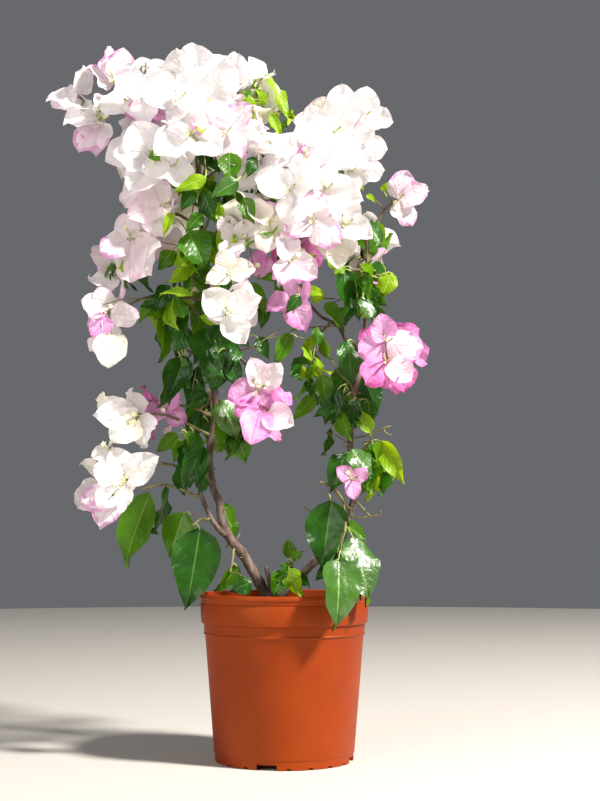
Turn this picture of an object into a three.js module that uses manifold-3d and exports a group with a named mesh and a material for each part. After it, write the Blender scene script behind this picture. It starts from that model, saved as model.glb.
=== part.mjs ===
// A bougainvillea in its nursery pot: pot, soil, trunk, woody boughs and masses of leaves and bracts.
// Millimetres, +Z up. The origin is the centre of the pot's flat underside; the side with the open
// gap between the two woody leaders faces -Y.
import * as THREE from "three";
import Module from "manifold-3d";

const wasm = await Module();
wasm.setup();
const { Manifold, Mesh: SolidMesh } = wasm;

// Driving sizes of the pot and of the plant's parts.
const POT = {
  lipRadius: 90,
  footRadius: 72.1,
  height: 172.4,
  lipHeight: 5,
  grooveBelowRim: 9.6,
  upperBead: 142.4,
  lowerBead: 130.8,
  stepHeight: 8.5,
  wall: 2.2,
  floor: 9,
  segments: 32,
};
const NOTCHES = 20;
const FIRST_NOTCH = -13.7;
const SOIL_BELOW_RIM = 20;
const CLEAR = 0.3;
const SLIVER = 0.08;
const GRID = 1e-3;
const LEAF = { widthShare: 0.62, shoulder: 0.4, thickness: 1.2, fold: 0.1, curl: 0.16 };
const BRACT = { widthShare: 0.8, shoulder: 0.46, thickness: 1.1, fold: 0.08, curl: 0.1 };
const BRACT_LENGTH = 42;
const STEM_RADIUS = 2.6;
const STEM_TIP_RADIUS = 2;
const TWIG_RADIUS = 1;
const NODE_LENGTH = 1;
const UP = new THREE.Vector3(0, 0, 1);

const at = (x, y, z) => new THREE.Vector3(x, y, z);
const between = (a, b, share) => a.clone().lerp(b, share);

// A closed solid from corner points and triangles.
function solidOf(points, triangles) {
  return new Manifold(
    new SolidMesh({
      numProp: 3,
      vertProperties: new Float32Array(points.flatMap((p) => [p.x, p.y, p.z])),
      triVerts: new Uint32Array(triangles.flat()),
    }),
  );
}

// A closed solid from a geometry, with the corners that its faces share merged.
function closed(geometry) {
  const points = [];
  const triangles = [];
  const known = new Map();
  const position = geometry.getAttribute("position");
  const numbers = [...geometry.index.array].map((i) => {
    const p = at(position.getX(i), position.getY(i), position.getZ(i));
    const key = [p.x, p.y, p.z].map((v) => Math.round(v * 1e3)).join();
    if (!known.has(key)) {
      known.set(key, points.length);
      points.push(p);
    }
    return known.get(key);
  });
  for (let i = 0; i < numbers.length; i += 3) {
    const [a, b, c] = numbers.slice(i, i + 3);
    if (a !== b && b !== c && c !== a) triangles.push([a, b, c]);
  }
  return solidOf(points, triangles);
}

// A profile of [radius, height] pairs turned about the upright axis.
function turned(profile) {
  const corners = profile.map(([radius, height]) => new THREE.Vector2(radius, height));
  return closed(new THREE.LatheGeometry(corners, POT.segments).rotateX(Math.PI / 2));
}

const square = (v, along) => v.addScaledVector(along, -v.dot(along)).normalize();

// The corner points of a ring of a limb, square to its direction, turned about it by the roll.
function ringPoints({ centre, along, radius }, steady, roll, sides) {
  const side = steady.clone().cross(along).normalize();
  const front = along.clone().cross(side);
  return Array.from({ length: sides }, (_, k) => {
    const angle = roll + (2 * Math.PI * k) / sides;
    return centre
      .clone()
      .addScaledVector(side, radius * Math.cos(angle))
      .addScaledVector(front, radius * Math.sin(angle));
  });
}

function steadyFor(path) {
  const chord = path[path.length - 1].clone().sub(path[0]).normalize();
  return Math.abs(chord.y) < 0.7 ? at(0, 1, 0) : at(1, 0, 0);
}

// The rings of a limb along its path. A path point that bears blades has two rings, a node's length apart.
function ringsOf(path, radii, bearing = []) {
  return path.flatMap((centre, i) => {
    const before = path[Math.max(i - 1, 0)];
    const after = path[Math.min(i + 1, path.length - 1)];
    const along = after.clone().sub(before).normalize();
    const ring = { centre, along, radius: radii[i] };
    if (!bearing.includes(i)) return [ring];
    const ahead = i === path.length - 1 ? 0 : NODE_LENGTH / 2;
    const under = centre.clone().addScaledVector(along, ahead - NODE_LENGTH);
    const over = centre.clone().addScaledVector(along, ahead);
    return [{ ...ring, centre: under }, { ...ring, centre: over, bearer: i }];
  });
}

// The outline and the two middles of a thin blade, folded along its midrib and curling away from its face.
function bladePoints({ root, along, face, length, form }) {
  const side = along.clone().cross(face).normalize();
  const half = (length * form.widthShare) / 2;
  const place = (share, across, lift) =>
    root
      .clone()
      .addScaledVector(along, length * share)
      .addScaledVector(side, half * across)
      .addScaledVector(face, lift - length * form.curl * share * share);
  const dip = length * form.widthShare * form.fold;
  return {
    right: place(form.shoulder, 1, 0),
    left: place(form.shoulder, -1, 0),
    tip: place(1, 0, 0),
    upper: place(form.shoulder, 0, form.thickness / 2 - dip),
    lower: place(form.shoulder, 0, -form.thickness / 2 - dip),
  };
}

// A limb with flat ends. Its blades grow out of its sides, between the two rings of a node.
function limbSolid(path, radii, sides, roll = 0, blades = []) {
  const rings = ringsOf(path, radii, blades.map((blade) => blade.bearer));
  const steady = steadyFor(path);
  const points = rings.flatMap((ring) => ringPoints(ring, steady, roll, sides));
  const triangles = [];
  for (let r = 1; r < rings.length; r++) {
    const low = (r - 1) * sides;
    const high = r * sides;
    for (let k = 0; k < sides; k++) {
      const next = (k + 1) % sides;
      const [a, b, c, d] = [low + k, low + next, high + next, high + k];
      const blade = blades.find((one) => one.bearer === rings[r].bearer && one.side === k);
      if (!blade) {
        triangles.push([a, b, c], [a, c, d]);
        continue;
      }
      const { right, left, tip, upper, lower } = bladePoints(blade);
      const first = points.length;
      const flipped = left.clone().sub(right).dot(points[b].clone().sub(points[a])) < 0;
      points.push(...(flipped ? [left, right, tip, lower, upper] : [right, left, tip, upper, lower]));
      const [onA, onB, end, over, under] = [0, 1, 2, 3, 4].map((n) => first + n);
      triangles.push([a, b, under], [b, onB, under], [onB, end, under], [end, onA, under], [onA, a, under]);
      triangles.push([c, d, over], [d, onA, over], [onA, end, over], [end, onB, over], [onB, c, over]);
      triangles.push([d, a, onA], [b, c, onB]);
    }
  }
  const top = (rings.length - 1) * sides;
  for (let k = 1; k < sides - 1; k++) {
    triangles.push([0, k + 1, k], [top, top + k, top + k + 1]);
  }
  return solidOf(points, triangles);
}

function smoothPath(points, steps) {
  return new THREE.CatmullRomCurve3(points, false, "catmullrom", 0.5).getPoints(steps);
}

// Radii that taper evenly from foot to tip.
function taper(foot, tip, count) {
  return Array.from({ length: count }, (_, i) => foot + ((tip - foot) * i) / (count - 1));
}

const largestBody = (solid) => solid.decompose().reduce((a, b) => (a.volume() > b.volume() ? a : b));
const joined = (solids) => largestBody(Manifold.union(solids).simplify(SLIVER));

// The solid with its corners rounded to a fine grid, or nothing where that doesn't leave it closed.
function settled(solid) {
  const { vertProperties, triVerts } = solid.getMesh();
  const points = [];
  const known = new Map();
  const numberOf = (v) => {
    const p = [0, 1, 2].map((k) => Math.round(vertProperties[3 * v + k] / GRID) * GRID);
    const key = p.map((n) => n.toFixed(3)).join();
    if (!known.has(key)) {
      known.set(key, points.length);
      points.push(at(...p));
    }
    return known.get(key);
  };
  const triangles = [];
  for (let i = 0; i < triVerts.length; i += 3) {
    const [a, b, c] = [triVerts[i], triVerts[i + 1], triVerts[i + 2]].map(numberOf);
    if (a !== b && b !== c && c !== a) triangles.push([a, b, c]);
  }
  try {
    return largestBody(solidOf(points, triangles));
  } catch {
    return null;
  }
}

// Numbers from 0 to 1 that come out the same each time for the same seed.
function chanceFrom(seed) {
  let state = seed * 7919 + 17;
  const next = () => {
    state = (state * 16807) % 2147483647;
    return state / 2147483647;
  };
  next();
  next();
  return next;
}

// Pot: a thin moulded wall with a turned lip, a groove, two beads and notches round its foot.
function potSolid() {
  const { lipRadius, footRadius, height, wall } = POT;
  const lipFoot = height - POT.lipHeight;
  const groove = height - POT.grooveBelowRim;
  const collarTop = lipRadius - 1.4;
  const neck = lipRadius - 5.2;
  const bodyTop = lipRadius - 6.7;
  const bodyFoot = footRadius + 1.1;
  const outside = [
    [0, 0],
    [footRadius, 0],
    [footRadius + 0.4, POT.stepHeight],
    [bodyFoot, POT.stepHeight + 1],
    [bodyTop, POT.lowerBead - 1.2],
    [bodyTop + 1.6, POT.lowerBead],
    [neck - 0.5, POT.lowerBead + 1.2],
    [neck, POT.upperBead - 1.2],
    [neck + 2.7, POT.upperBead],
    [collarTop, groove - 0.8],
    [collarTop - 0.9, groove],
    [collarTop, groove + 0.8],
    [collarTop + 0.1, lipFoot],
    [lipRadius, lipFoot + 0.4],
    [lipRadius, height - 0.6],
    [lipRadius - 0.8, height],
  ];
  const inside = [
    [lipRadius - 3.4, height],
    [neck - wall - 0.3, POT.upperBead - 2],
    [bodyTop - wall, POT.lowerBead],
    [bodyFoot - wall, POT.floor],
    [0, POT.floor],
  ];
  const notches = [];
  for (let i = 0; i < NOTCHES; i++) {
    const wide = i % 5 === 0;
    const [width, high, deep] = wide ? [21, 5.8, 7] : [4.5, 2, 4];
    const angle = THREE.MathUtils.degToRad(FIRST_NOTCH + (i * 360) / NOTCHES);
    const box = new THREE.BoxGeometry(width, deep * 2, high * 2).translate(0, -footRadius, 0);
    notches.push(closed(box.rotateZ(angle)));
  }
  return turned([...outside, ...inside]).subtract(Manifold.union(notches));
}

// The inner radius of the pot at a height, for the soil that fills it.
function potInside(height) {
  const foot = POT.footRadius + 1.1 - POT.wall;
  const top = POT.lipRadius - 6.7 - POT.wall;
  return foot + ((top - foot) * (height - POT.floor)) / (POT.lowerBead - POT.floor);
}

const SOIL_TOP = POT.height - SOIL_BELOW_RIM;

// Soil: one plug that stands on the pot's floor and stops below the rim, clear of the wall all round.
function soilSolid() {
  const steps = [
    [0, POT.floor],
    [potInside(POT.floor) - CLEAR - 0.3, POT.floor],
    [potInside(POT.lowerBead) - CLEAR - 0.2, POT.lowerBead],
    [potInside(POT.lowerBead) - CLEAR, SOIL_TOP],
    [0, SOIL_TOP],
  ];
  return turned(steps);
}

// Woody limbs. One that continues another starts at its end; one that rises from another starts at a share
// of its length. The path lists [x, y, z] from there on, and radii are those at the foot and at the tip.
const LIMBS = {
  left_bough_lower: {
    rises: "trunk",
    path: [[-20, 0, 172], [-31, -2, 191], [-46, -5, 216], [-56, -6, 227], [-65, -6, 243], [-68, -5, 262]],
    radii: [6, 4.6],
  },
  left_bough_middle: {
    continues: "left_bough_lower",
    path: [[-75, -4, 281], [-79, -2, 300], [-80, 1, 325], [-75, 3, 353], [-75, 4, 383], [-77, 6, 421]],
    radii: [4.3, 3.4],
  },
  left_bough_upper: {
    continues: "left_bough_middle",
    path: [[-81, 6, 464], [-84, 4, 507], [-89, 2, 551], [-92, 0, 594], [-95, 0, 633]],
    radii: [3.3, 2.2],
  },
  left_side_bough: {
    from: ["left_bough_lower", 0.72],
    path: [[-74, -18, 246], [-82, -21, 262], [-88, -24, 278]],
    radii: [3.2, 2.2],
  },
  top_left_bough: {
    from: ["left_bough_upper", 0.78],
    path: [[-112, -14, 625], [-138, -20, 660], [-165, -24, 690]],
    radii: [2.2, 1.6],
  },
  right_bough_lower: {
    rises: "trunk",
    path: [[-1, 0, 172.5], [10, 0, 183], [26, 0, 199], [48, 2, 219], [64, 4, 240], [72, 6, 265]],
    radii: [4.4, 3.6],
  },
  right_bough_middle: {
    continues: "right_bough_lower",
    path: [[71, 7, 294], [70, 8, 324], [71, 8, 351], [73, 8, 378], [79, 8, 402], [85, 8, 426]],
    radii: [3.5, 2.9],
  },
  right_bough_upper: {
    continues: "right_bough_middle",
    path: [[87, 8, 453], [88, 6, 480], [91, 2, 518], [88, 2, 548], [83, 2, 577], [75, 0, 607], [65, 0, 639]],
    radii: [2.8, 1.9],
  },
  cross_bough: {
    from: ["right_bough_middle", 0.9],
    path: [[59, -4, 453], [38, -11, 466], [22, -14, 484], [9, -16, 503]],
    radii: [2.1, 1.5],
  },
  pruned_stub: {
    rises: "trunk",
    path: [[-13, -10, 173], [-16, -13, 186], [-19, -15, 200]],
    radii: [2.9, 2.4],
  },
};
const LIMB_SIDES = 6;
const LIMB_STEP = 16;
const STEM_STEP = 24;

const vectors = (rows) => rows.map(([x, y, z]) => at(x, y, z));
const lengthOf = (path) => path.slice(1).reduce((sum, p, i) => sum + p.distanceTo(path[i]), 0);

// The place on a path at a share of its points, with its direction there.
function placeOn(path, share) {
  const position = Math.min(share, 0.999) * (path.length - 1);
  const i = Math.floor(position);
  return {
    point: between(path[i], path[i + 1], position - i),
    along: path[i + 1].clone().sub(path[i]).normalize(),
  };
}

// Where a shoot leaves a limb toward a point, clear of the bark, and which way it sets off.
function footOn(limb, share, toward, radius) {
  const { point, along } = placeOn(limb.path, share);
  const away = toward.clone().sub(point);
  const out = away.addScaledVector(along, -away.dot(along)).normalize();
  const bark = limb.radii[0] + (limb.radii[limb.radii.length - 1] - limb.radii[0]) * share;
  return { foot: point.clone().addScaledVector(out, bark + CLEAR + 0.2 * radius), out };
}

// A path that sets off from a foot in one direction for a little way and then runs smoothly through points.
function pathFrom(foot, out, straight, points, step) {
  const on = [foot.clone().addScaledVector(out, straight), ...points];
  return [foot, ...smoothPath(on, Math.max(Math.ceil(lengthOf(on) / step), on.length - 1))];
}

// The path with its foot moved the way it sets off, so that its solid lies just clear of its carrier.
function seated(path, radii, sides, out, carrier) {
  const gap = limbSolid(path, radii, sides).minGap(carrier, 5);
  return [path[0].clone().addScaledVector(out, CLEAR - gap), ...path.slice(1)];
}

const limbs = {};
for (const [name, { rises, continues, from, path, radii }] of Object.entries(LIMBS)) {
  const points = vectors(path);
  let foot = points[0];
  let out = points[1].clone().sub(foot).normalize();
  let rest = points.slice(1);
  if (continues) {
    const before = limbs[continues].path;
    const end = before[before.length - 1];
    out = end.clone().sub(before[before.length - 2]).normalize();
    foot = end.clone().addScaledVector(out, CLEAR + 0.05);
    rest = points;
  }
  if (from) {
    ({ foot, out } = footOn(limbs[from[0]], from[1], points[0], radii[0]));
    rest = points;
  }
  const loose = pathFrom(foot, out, 5, rest, LIMB_STEP);
  const thick = taper(...radii, loose.length);
  const along = from ? seated(loose, thick, LIMB_SIDES, out, limbs[from[0]].solid) : loose;
  limbs[name] = { rises, path: along, radii: thick, solid: limbSolid(along, thick, LIMB_SIDES) };
}

// Trunk: a short leaning stock with root flare, cut flat at the soil, with a fork to each limb it bears.
const TRUNK = { foot: at(-12, -3, SOIL_TOP), fork: at(-14, -2, 165), footRadius: 10.5, forkRadius: 7 };

function trunkSolid() {
  const { foot, fork, footRadius, forkRadius } = TRUNK;
  const under = foot.clone().addScaledVector(UP, -4);
  const pieces = [
    limbSolid([under, foot, between(foot, fork, 0.4), fork], [footRadius + 2, footRadius, 8, forkRadius], 8),
  ];
  for (const { rises, path, radii } of Object.values(limbs)) {
    if (!rises) continue;
    const back = path[0].clone().sub(path[1]).normalize();
    const end = path[0].clone().addScaledVector(back, CLEAR + 0.05);
    const near = path[0].clone().addScaledVector(back, 4);
    const start = between(foot, fork, 0.6);
    const swell = [1.25, 1.12, 1.02].map((share) => radii[0] * share);
    pieces.push(limbSolid([start, near, end], swell, LIMB_SIDES));
  }
  for (let i = 0; i < 5; i++) {
    const angle = (2 * Math.PI * (i + 0.3)) / 5;
    const outward = at(Math.cos(angle), Math.sin(angle), 0);
    const high = foot.clone().addScaledVector(UP, 7).addScaledVector(outward, 4);
    const low = foot.clone().addScaledVector(UP, -1.5).addScaledVector(outward, footRadius + 8);
    pieces.push(limbSolid([high, low], [4.5, 2.4], 5));
  }
  return joined(pieces).trimByPlane([0, 0, 1], SOIL_TOP);
}

// Masses of leaves and bracts. Each has the limb that its stem leaves and where, the middle and the half
// sizes of the space it keeps to, its number of twigs and what they bear. It may name the length of its
// biggest leaf, how far its leaves hang (0 is level, 1 straight down) and how far its flowers nod.
const MASSES = {
  far_left_blossom: {
    on: ["top_left_bough", 0.97], centre: [-210, -20, 690], reach: [52, 46, 46],
    twigs: 4, bears: "blossom",
  },
  top_left_outer_blossom: {
    on: ["top_left_bough", 0.82], centre: [-160, -36, 722], reach: [48, 46, 46],
    twigs: 4, bears: "blossom",
  },
  top_left_blossom: {
    on: ["left_bough_upper", 0.99], centre: [-104, -44, 716], reach: [52, 50, 54],
    twigs: 5, bears: "blossom",
  },
  left_back_blossom: {
    on: ["left_bough_upper", 0.84], centre: [-116, 50, 650], reach: [60, 46, 88],
    twigs: 6, bears: "mixed",
  },
  top_centre_blossom: {
    on: ["left_bough_upper", 0.93], centre: [-46, -22, 702], reach: [44, 44, 48],
    twigs: 4, bears: "blossom",
  },
  top_young_spray: {
    on: ["right_bough_upper", 0.94], centre: [-6, -6, 690], reach: [30, 28, 44],
    twigs: 2, bears: "leafy", leaf: 34, hang: 0,
  },
  left_shoulder_blossom: {
    on: ["top_left_bough", 0.4], centre: [-146, -46, 636], reach: [44, 42, 44],
    twigs: 3, bears: "blossom",
  },
  upper_front_blossom: {
    on: ["left_bough_upper", 0.86], centre: [-86, -66, 650], reach: [46, 42, 44],
    twigs: 4, bears: "mixed",
  },
  left_flank_blossom: {
    on: ["left_bough_upper", 0.68], centre: [-152, -28, 574], reach: [48, 46, 46],
    twigs: 3, bears: "blossom",
  },
  centre_blossom: {
    on: ["left_bough_upper", 0.9], centre: [-24, -56, 626], reach: [44, 44, 46],
    twigs: 4, bears: "blossom",
  },
  centre_back_blossom: {
    on: ["right_bough_upper", 0.82], centre: [-14, 48, 622], reach: [52, 44, 52],
    twigs: 3, bears: "mixed",
  },
  top_right_blossom: {
    on: ["right_bough_upper", 0.99], centre: [66, -30, 686], reach: [54, 50, 52],
    twigs: 5, bears: "blossom",
  },
  top_right_back_blossom: {
    on: ["right_bough_upper", 0.96], centre: [64, 48, 664], reach: [54, 48, 54],
    twigs: 4, bears: "mixed",
  },
  right_front_blossom: {
    on: ["right_bough_upper", 0.78], centre: [44, -62, 600], reach: [46, 42, 50],
    twigs: 4, bears: "blossom",
  },
  right_lone_flower: {
    on: ["right_bough_upper", 0.62], centre: [128, -10, 596], reach: [30, 28, 34],
    twigs: 1, bears: "mixed", leaf: 30,
  },
  centre_low_blossom: {
    on: ["cross_bough", 0.92], centre: [10, -46, 516], reach: [38, 34, 58],
    twigs: 4, bears: "mixed",
  },
  left_centre_blossom: {
    on: ["left_bough_upper", 0.6], centre: [-40, -64, 548], reach: [42, 40, 44],
    twigs: 3, bears: "mixed",
  },
  left_outer_blossom: {
    on: ["left_bough_upper", 0.5], centre: [-168, -26, 520], reach: [46, 44, 46],
    twigs: 3, bears: "mixed",
  },
  left_hanging_blossom: {
    on: ["left_bough_upper", 0.32], centre: [-186, -25, 452], reach: [34, 34, 44],
    twigs: 2, bears: "blossom", nod: 1,
  },
  left_white_blossom: {
    on: ["left_bough_middle", 0.6], centre: [-168, -25, 356], reach: [46, 42, 42],
    twigs: 2, bears: "blossom",
  },
  left_pink_blossom: {
    on: ["left_bough_middle", 0.72], centre: [-128, 4, 368], reach: [44, 40, 38],
    twigs: 2, bears: "blossom",
  },
  left_low_blossom: {
    on: ["left_bough_middle", 0.34], centre: [-180, -30, 288], reach: [46, 40, 42],
    twigs: 3, bears: "blossom", nod: 0.5,
  },
  front_white_blossom: {
    on: ["left_bough_upper", 0.25], centre: [-52, -78, 480], reach: [38, 36, 52],
    twigs: 3, bears: "mixed",
  },
  front_pink_blossom: {
    on: ["left_bough_upper", 0.08], centre: [-18, -50, 372], reach: [44, 40, 50],
    twigs: 3, bears: "blossom", nod: 0.5,
  },
  right_pink_blossom: {
    on: ["right_bough_middle", 0.97], centre: [110, -34, 420], reach: [48, 42, 46],
    twigs: 3, bears: "blossom",
  },
  right_low_blossom: {
    on: ["right_bough_middle", 0.25], centre: [68, -36, 290], reach: [36, 34, 36],
    twigs: 1, bears: "blossom",
  },
  left_foot_leaves: {
    on: ["left_side_bough", 0.5], centre: [-94, -42, 212], reach: [48, 38, 66],
    twigs: 2, bears: "leafy", leaf: 82, hang: 0.85,
  },
  left_low_leaves: {
    on: ["left_side_bough", 0.95], centre: [-148, -24, 250], reach: [44, 34, 66],
    twigs: 2, bears: "leafy", leaf: 84, hang: 0.85,
  },
  foot_shoot_leaves: {
    on: ["right_bough_lower", 0.16], centre: [8, -24, 202], reach: [30, 30, 34],
    twigs: 1, bears: "leafy", leaf: 36, hang: 0.1,
  },
  stem_foot_leaves: {
    on: ["left_bough_lower", 0.5], centre: [-56, -28, 190], reach: [30, 26, 30],
    twigs: 1, bears: "leafy", leaf: 32, hang: 0.3,
  },
  column_low_leaves: {
    on: ["left_bough_middle", 0.28], centre: [-98, -32, 322], reach: [46, 40, 52],
    twigs: 3, bears: "leafy", leaf: 52, hang: 0.8,
  },
  column_inner_leaves: {
    on: ["left_bough_middle", 0.5], centre: [-52, -30, 352], reach: [38, 36, 46],
    twigs: 2, bears: "leafy", leaf: 54, hang: 0.7,
  },
  column_back_leaves: {
    on: ["left_bough_middle", 0.66], centre: [-84, 48, 372], reach: [42, 38, 52],
    twigs: 3, bears: "leafy", leaf: 52, hang: 0.6,
  },
  column_mid_leaves: {
    on: ["left_bough_middle", 0.9], centre: [-104, -34, 404], reach: [44, 40, 52],
    twigs: 3, bears: "leafy", leaf: 54, hang: 0.8,
  },
  column_front_leaves: {
    on: ["left_bough_upper", 0.14], centre: [-66, -44, 428], reach: [40, 40, 50],
    twigs: 3, bears: "leafy", leaf: 54, hang: 0.7,
  },
  column_outer_leaves: {
    on: ["left_bough_upper", 0.22], centre: [-124, -22, 466], reach: [34, 36, 44],
    twigs: 3, bears: "leafy", leaf: 46, hang: 0.6,
  },
  column_high_leaves: {
    on: ["left_bough_upper", 0.46], centre: [-98, -44, 524], reach: [44, 42, 54],
    twigs: 3, bears: "leafy", leaf: 52, hang: 0.6,
  },
  column_high_back: {
    on: ["left_bough_upper", 0.36], centre: [-80, 54, 490], reach: [52, 44, 56],
    twigs: 3, bears: "mixed", leaf: 50, hang: 0.5,
  },
  crown_inner_leaves: {
    on: ["left_bough_upper", 0.66], centre: [-62, -30, 590], reach: [42, 34, 42],
    twigs: 3, bears: "leafy", leaf: 46, hang: 0.3,
  },
  cross_leaves: {
    on: ["cross_bough", 0.4], centre: [26, -14, 406], reach: [38, 30, 46],
    twigs: 2, bears: "leafy", leaf: 36, hang: 0.6,
  },
  right_foot_leaves: {
    on: ["right_bough_lower", 0.86], centre: [62, -66, 204], reach: [54, 50, 68],
    twigs: 3, bears: "leafy", leaf: 76, hang: 0.85,
  },
  right_foot_inner: {
    on: ["right_bough_lower", 0.97], centre: [36, -30, 262], reach: [40, 38, 56],
    twigs: 2, bears: "leafy", leaf: 66, hang: 0.85,
  },
  right_low_leaves: {
    on: ["right_bough_middle", 0.2], centre: [92, 2, 316], reach: [46, 42, 50],
    twigs: 3, bears: "leafy", leaf: 44, hang: 0.6,
  },
  right_mid_leaves: {
    on: ["right_bough_middle", 0.62], centre: [64, -24, 372], reach: [42, 36, 50],
    twigs: 3, bears: "leafy", leaf: 46, hang: 0.7,
  },
  right_back_leaves: {
    on: ["right_bough_middle", 0.8], centre: [84, 50, 404], reach: [42, 38, 56],
    twigs: 3, bears: "leafy", leaf: 46, hang: 0.5,
  },
  right_high_leaves: {
    on: ["right_bough_upper", 0.28], centre: [88, -22, 494], reach: [40, 36, 50],
    twigs: 3, bears: "leafy", leaf: 44, hang: 0.5,
  },
  right_high_back: {
    on: ["right_bough_upper", 0.45], centre: [86, 52, 540], reach: [48, 42, 58],
    twigs: 3, bears: "mixed", leaf: 46, hang: 0.4,
  },
};

const GOLDEN_TURN = 2.39996;
const SPACING = { limb: 3, other: 5, own: 3.5 };
const TOUCH = 0.5;

// Everything placed so far: spots with a radius and an owner for the quick test, solids for the last one.
const spots = [];
const solids = { pot: potSolid(), soil: soilSolid(), trunk: trunkSolid() };

function addSpots(points, radius, owner) {
  for (const point of points) spots.push({ point, radius, owner });
}

addSpots([TRUNK.foot, TRUNK.fork], 13, "limb");
for (const [name, { path, radii, solid }] of Object.entries(limbs)) {
  solids[name] = solid;
  addSpots(smoothPath(path, path.length * 3), Math.max(...radii), "limb");
}

const stemRadii = (count) => taper(STEM_RADIUS, STEM_TIP_RADIUS, count);
const masses = Object.entries(MASSES).map(([name, mass], i) => {
  const limb = limbs[mass.on[0]];
  const centre = at(...mass.centre);
  const { foot, out } = footOn(limb, mass.on[1], centre, STEM_RADIUS);
  const full = { leaf: 44, hang: 0.5, nod: 0, ...mass };
  const raised = mass.bears === "leafy" ? 0.55 * full.hang : 0.3 * full.nod;
  const tip = centre.clone().addScaledVector(UP, raised * mass.reach[2]);
  const rise = 0.12 * foot.distanceTo(tip);
  const bend = between(foot, tip, 0.55).addScaledVector(UP, rise);
  const loose = pathFrom(foot, out, 5, [bend, tip], STEM_STEP);
  const stem = seated(loose, stemRadii(loose.length), 3, out, limb.solid);
  addSpots(smoothPath(stem.slice(1), 14), STEM_RADIUS, name + " twig");
  const outward = centre.clone().sub(foot).setZ(0).normalize();
  const facing = outward.clone().add(at(0, 1.2 * Math.sign(centre.y || -1), 0)).normalize();
  return { name, ...full, centre, stem, outward, facing, seed: i + 1, blades: [] };
});
for (const { name, stem } of masses) solids[name] = limbSolid(stem, stemRadii(stem.length), 3);

// Whether points of a mass have room: inside its space, off the limbs and apart from all that is placed.
function hasRoom(points, mass, radius, ownGap) {
  const { centre, reach, name } = mass;
  return points.every((p) => {
    const share = Math.hypot(
      (p.x - centre.x) / reach[0],
      (p.y - centre.y) / reach[1],
      (p.z - centre.z) / reach[2],
    );
    if (share > 1.15) return false;
    return spots.every((spot) => {
      if (spot.owner === name + " twig") return true;
      const gap = spot.owner === "limb" ? SPACING.limb : spot.owner === name ? ownGap : SPACING.other;
      const room = gap + radius + spot.radius;
      return gap === 0 || p.distanceToSquared(spot.point) >= room * room;
    });
  });
}

function touchesOthers(solid, owner) {
  const box = solid.boundingBox();
  return Object.entries(solids).some(([name, other]) => {
    if (name === owner) return false;
    const room = other.boundingBox();
    const apart = [0, 1, 2].some((k) => box.min[k] > room.max[k] + 1 || box.max[k] < room.min[k] - 1);
    return !apart && solid.minGap(other, 1) < TOUCH;
  });
}

// Spots spread over a blade, for the test of its room.
const SPREAD = [[0.3, 0], [0.44, 0.6], [0.44, -0.6], [0.6, 0], [0.74, 0.32], [0.74, -0.32], [0.98, 0]];

function bladeSpots({ root, along, face, length, form }) {
  const side = along.clone().cross(face);
  const half = (length * form.widthShare) / 2;
  return SPREAD.map(([share, across]) =>
    root
      .clone()
      .addScaledVector(along, length * share)
      .addScaledVector(side, half * across)
      .addScaledVector(face, -length * form.curl * share * share),
  );
}

// A blade alone, closed at its root, for the exact test.
function looseBlade(blade) {
  const { right, left, tip, upper, lower } = bladePoints(blade);
  const points = [blade.root, right, tip, left, upper, lower];
  const triangles = [0, 1, 2, 3].flatMap((i) => [
    [i, (i + 1) % 4, 4],
    [(i + 1) % 4, i, 5],
  ]);
  return solidOf(points, triangles);
}

// Whether a blade has room in its mass; one that has is kept.
function keepBlade(mass, shoot, blade) {
  const places = bladeSpots(blade);
  if (!hasRoom(places, mass, 0, SPACING.own)) return false;
  const solid = looseBlade(blade);
  if (touchesOthers(solid, mass.name)) return false;
  if (mass.blades.some((own) => solid.minGap(own, 1) < CLEAR)) return false;
  shoot.blades.push(blade);
  mass.blades.push(solid);
  return places;
}

// The three sides of a shoot at one of its points: where each lies and which way it looks.
function sidesAt(shoot, bearer) {
  const ring = ringsOf(shoot.path, shoot.radii, [bearer]).find((one) => one.bearer === bearer);
  const corners = ringPoints(ring, steadyFor(shoot.path), shoot.roll, 3);
  return corners.map((corner, side) => {
    const root = between(corner, corners[(side + 1) % 3], 0.5);
    root.addScaledVector(ring.along, -NODE_LENGTH / 2);
    const around = square(root.clone().sub(ring.centre), ring.along);
    return { side, root, axis: ring.along, around };
  });
}

// A flower: three bracts that open round the shoot.
function addFlower(mass, shoot, bearer, opening, chance) {
  const kept = sidesAt(shoot, bearer).map(({ side, root, axis, around }) => {
    const open = opening * (0.85 + 0.3 * chance());
    const along = axis.clone().multiplyScalar(Math.cos(open)).addScaledVector(around, Math.sin(open));
    along.addScaledVector(UP, -0.5 * mass.nod).normalize();
    const face = square(axis.clone(), along);
    const length = BRACT_LENGTH * (0.88 + 0.24 * chance());
    return keepBlade(mass, shoot, { bearer, side, root, along, face, length, form: BRACT });
  });
  for (const places of kept) if (places) addSpots(places, 0, mass.name);
}

// Leaves at one point of a shoot: each leaves its side, hangs, and turns its upper face outward.
function addLeaves(mass, shoot, bearer, count, chance) {
  let left = count;
  const outwardness = ({ around }) => around.dot(mass.facing);
  const sides = sidesAt(shoot, bearer).sort((a, b) => outwardness(b) - outwardness(a));
  for (const { side, root, axis, around } of sides) {
    const hang = mass.hang * (0.8 + 0.4 * chance());
    const along = around.clone().addScaledVector(axis, 0.3).multiplyScalar(1.1 - hang);
    along.addScaledVector(UP, -hang).normalize();
    const length = mass.leaf * (0.72 + 0.28 * chance());
    if (left === 0 || along.dot(around) < 0.1) continue;
    const edge = around.clone().cross(axis);
    const lit = square(mass.facing.clone().addScaledVector(axis, 0.5), along);
    const face = Math.abs(along.clone().cross(lit).dot(edge)) > 0.45 ? lit : square(axis.clone(), along);
    const places = keepBlade(mass, shoot, { bearer, side, root, along, face, length, form: LEAF });
    if (places) {
      addSpots(places, 0, mass.name);
      left -= 1;
    }
  }
}

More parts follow.
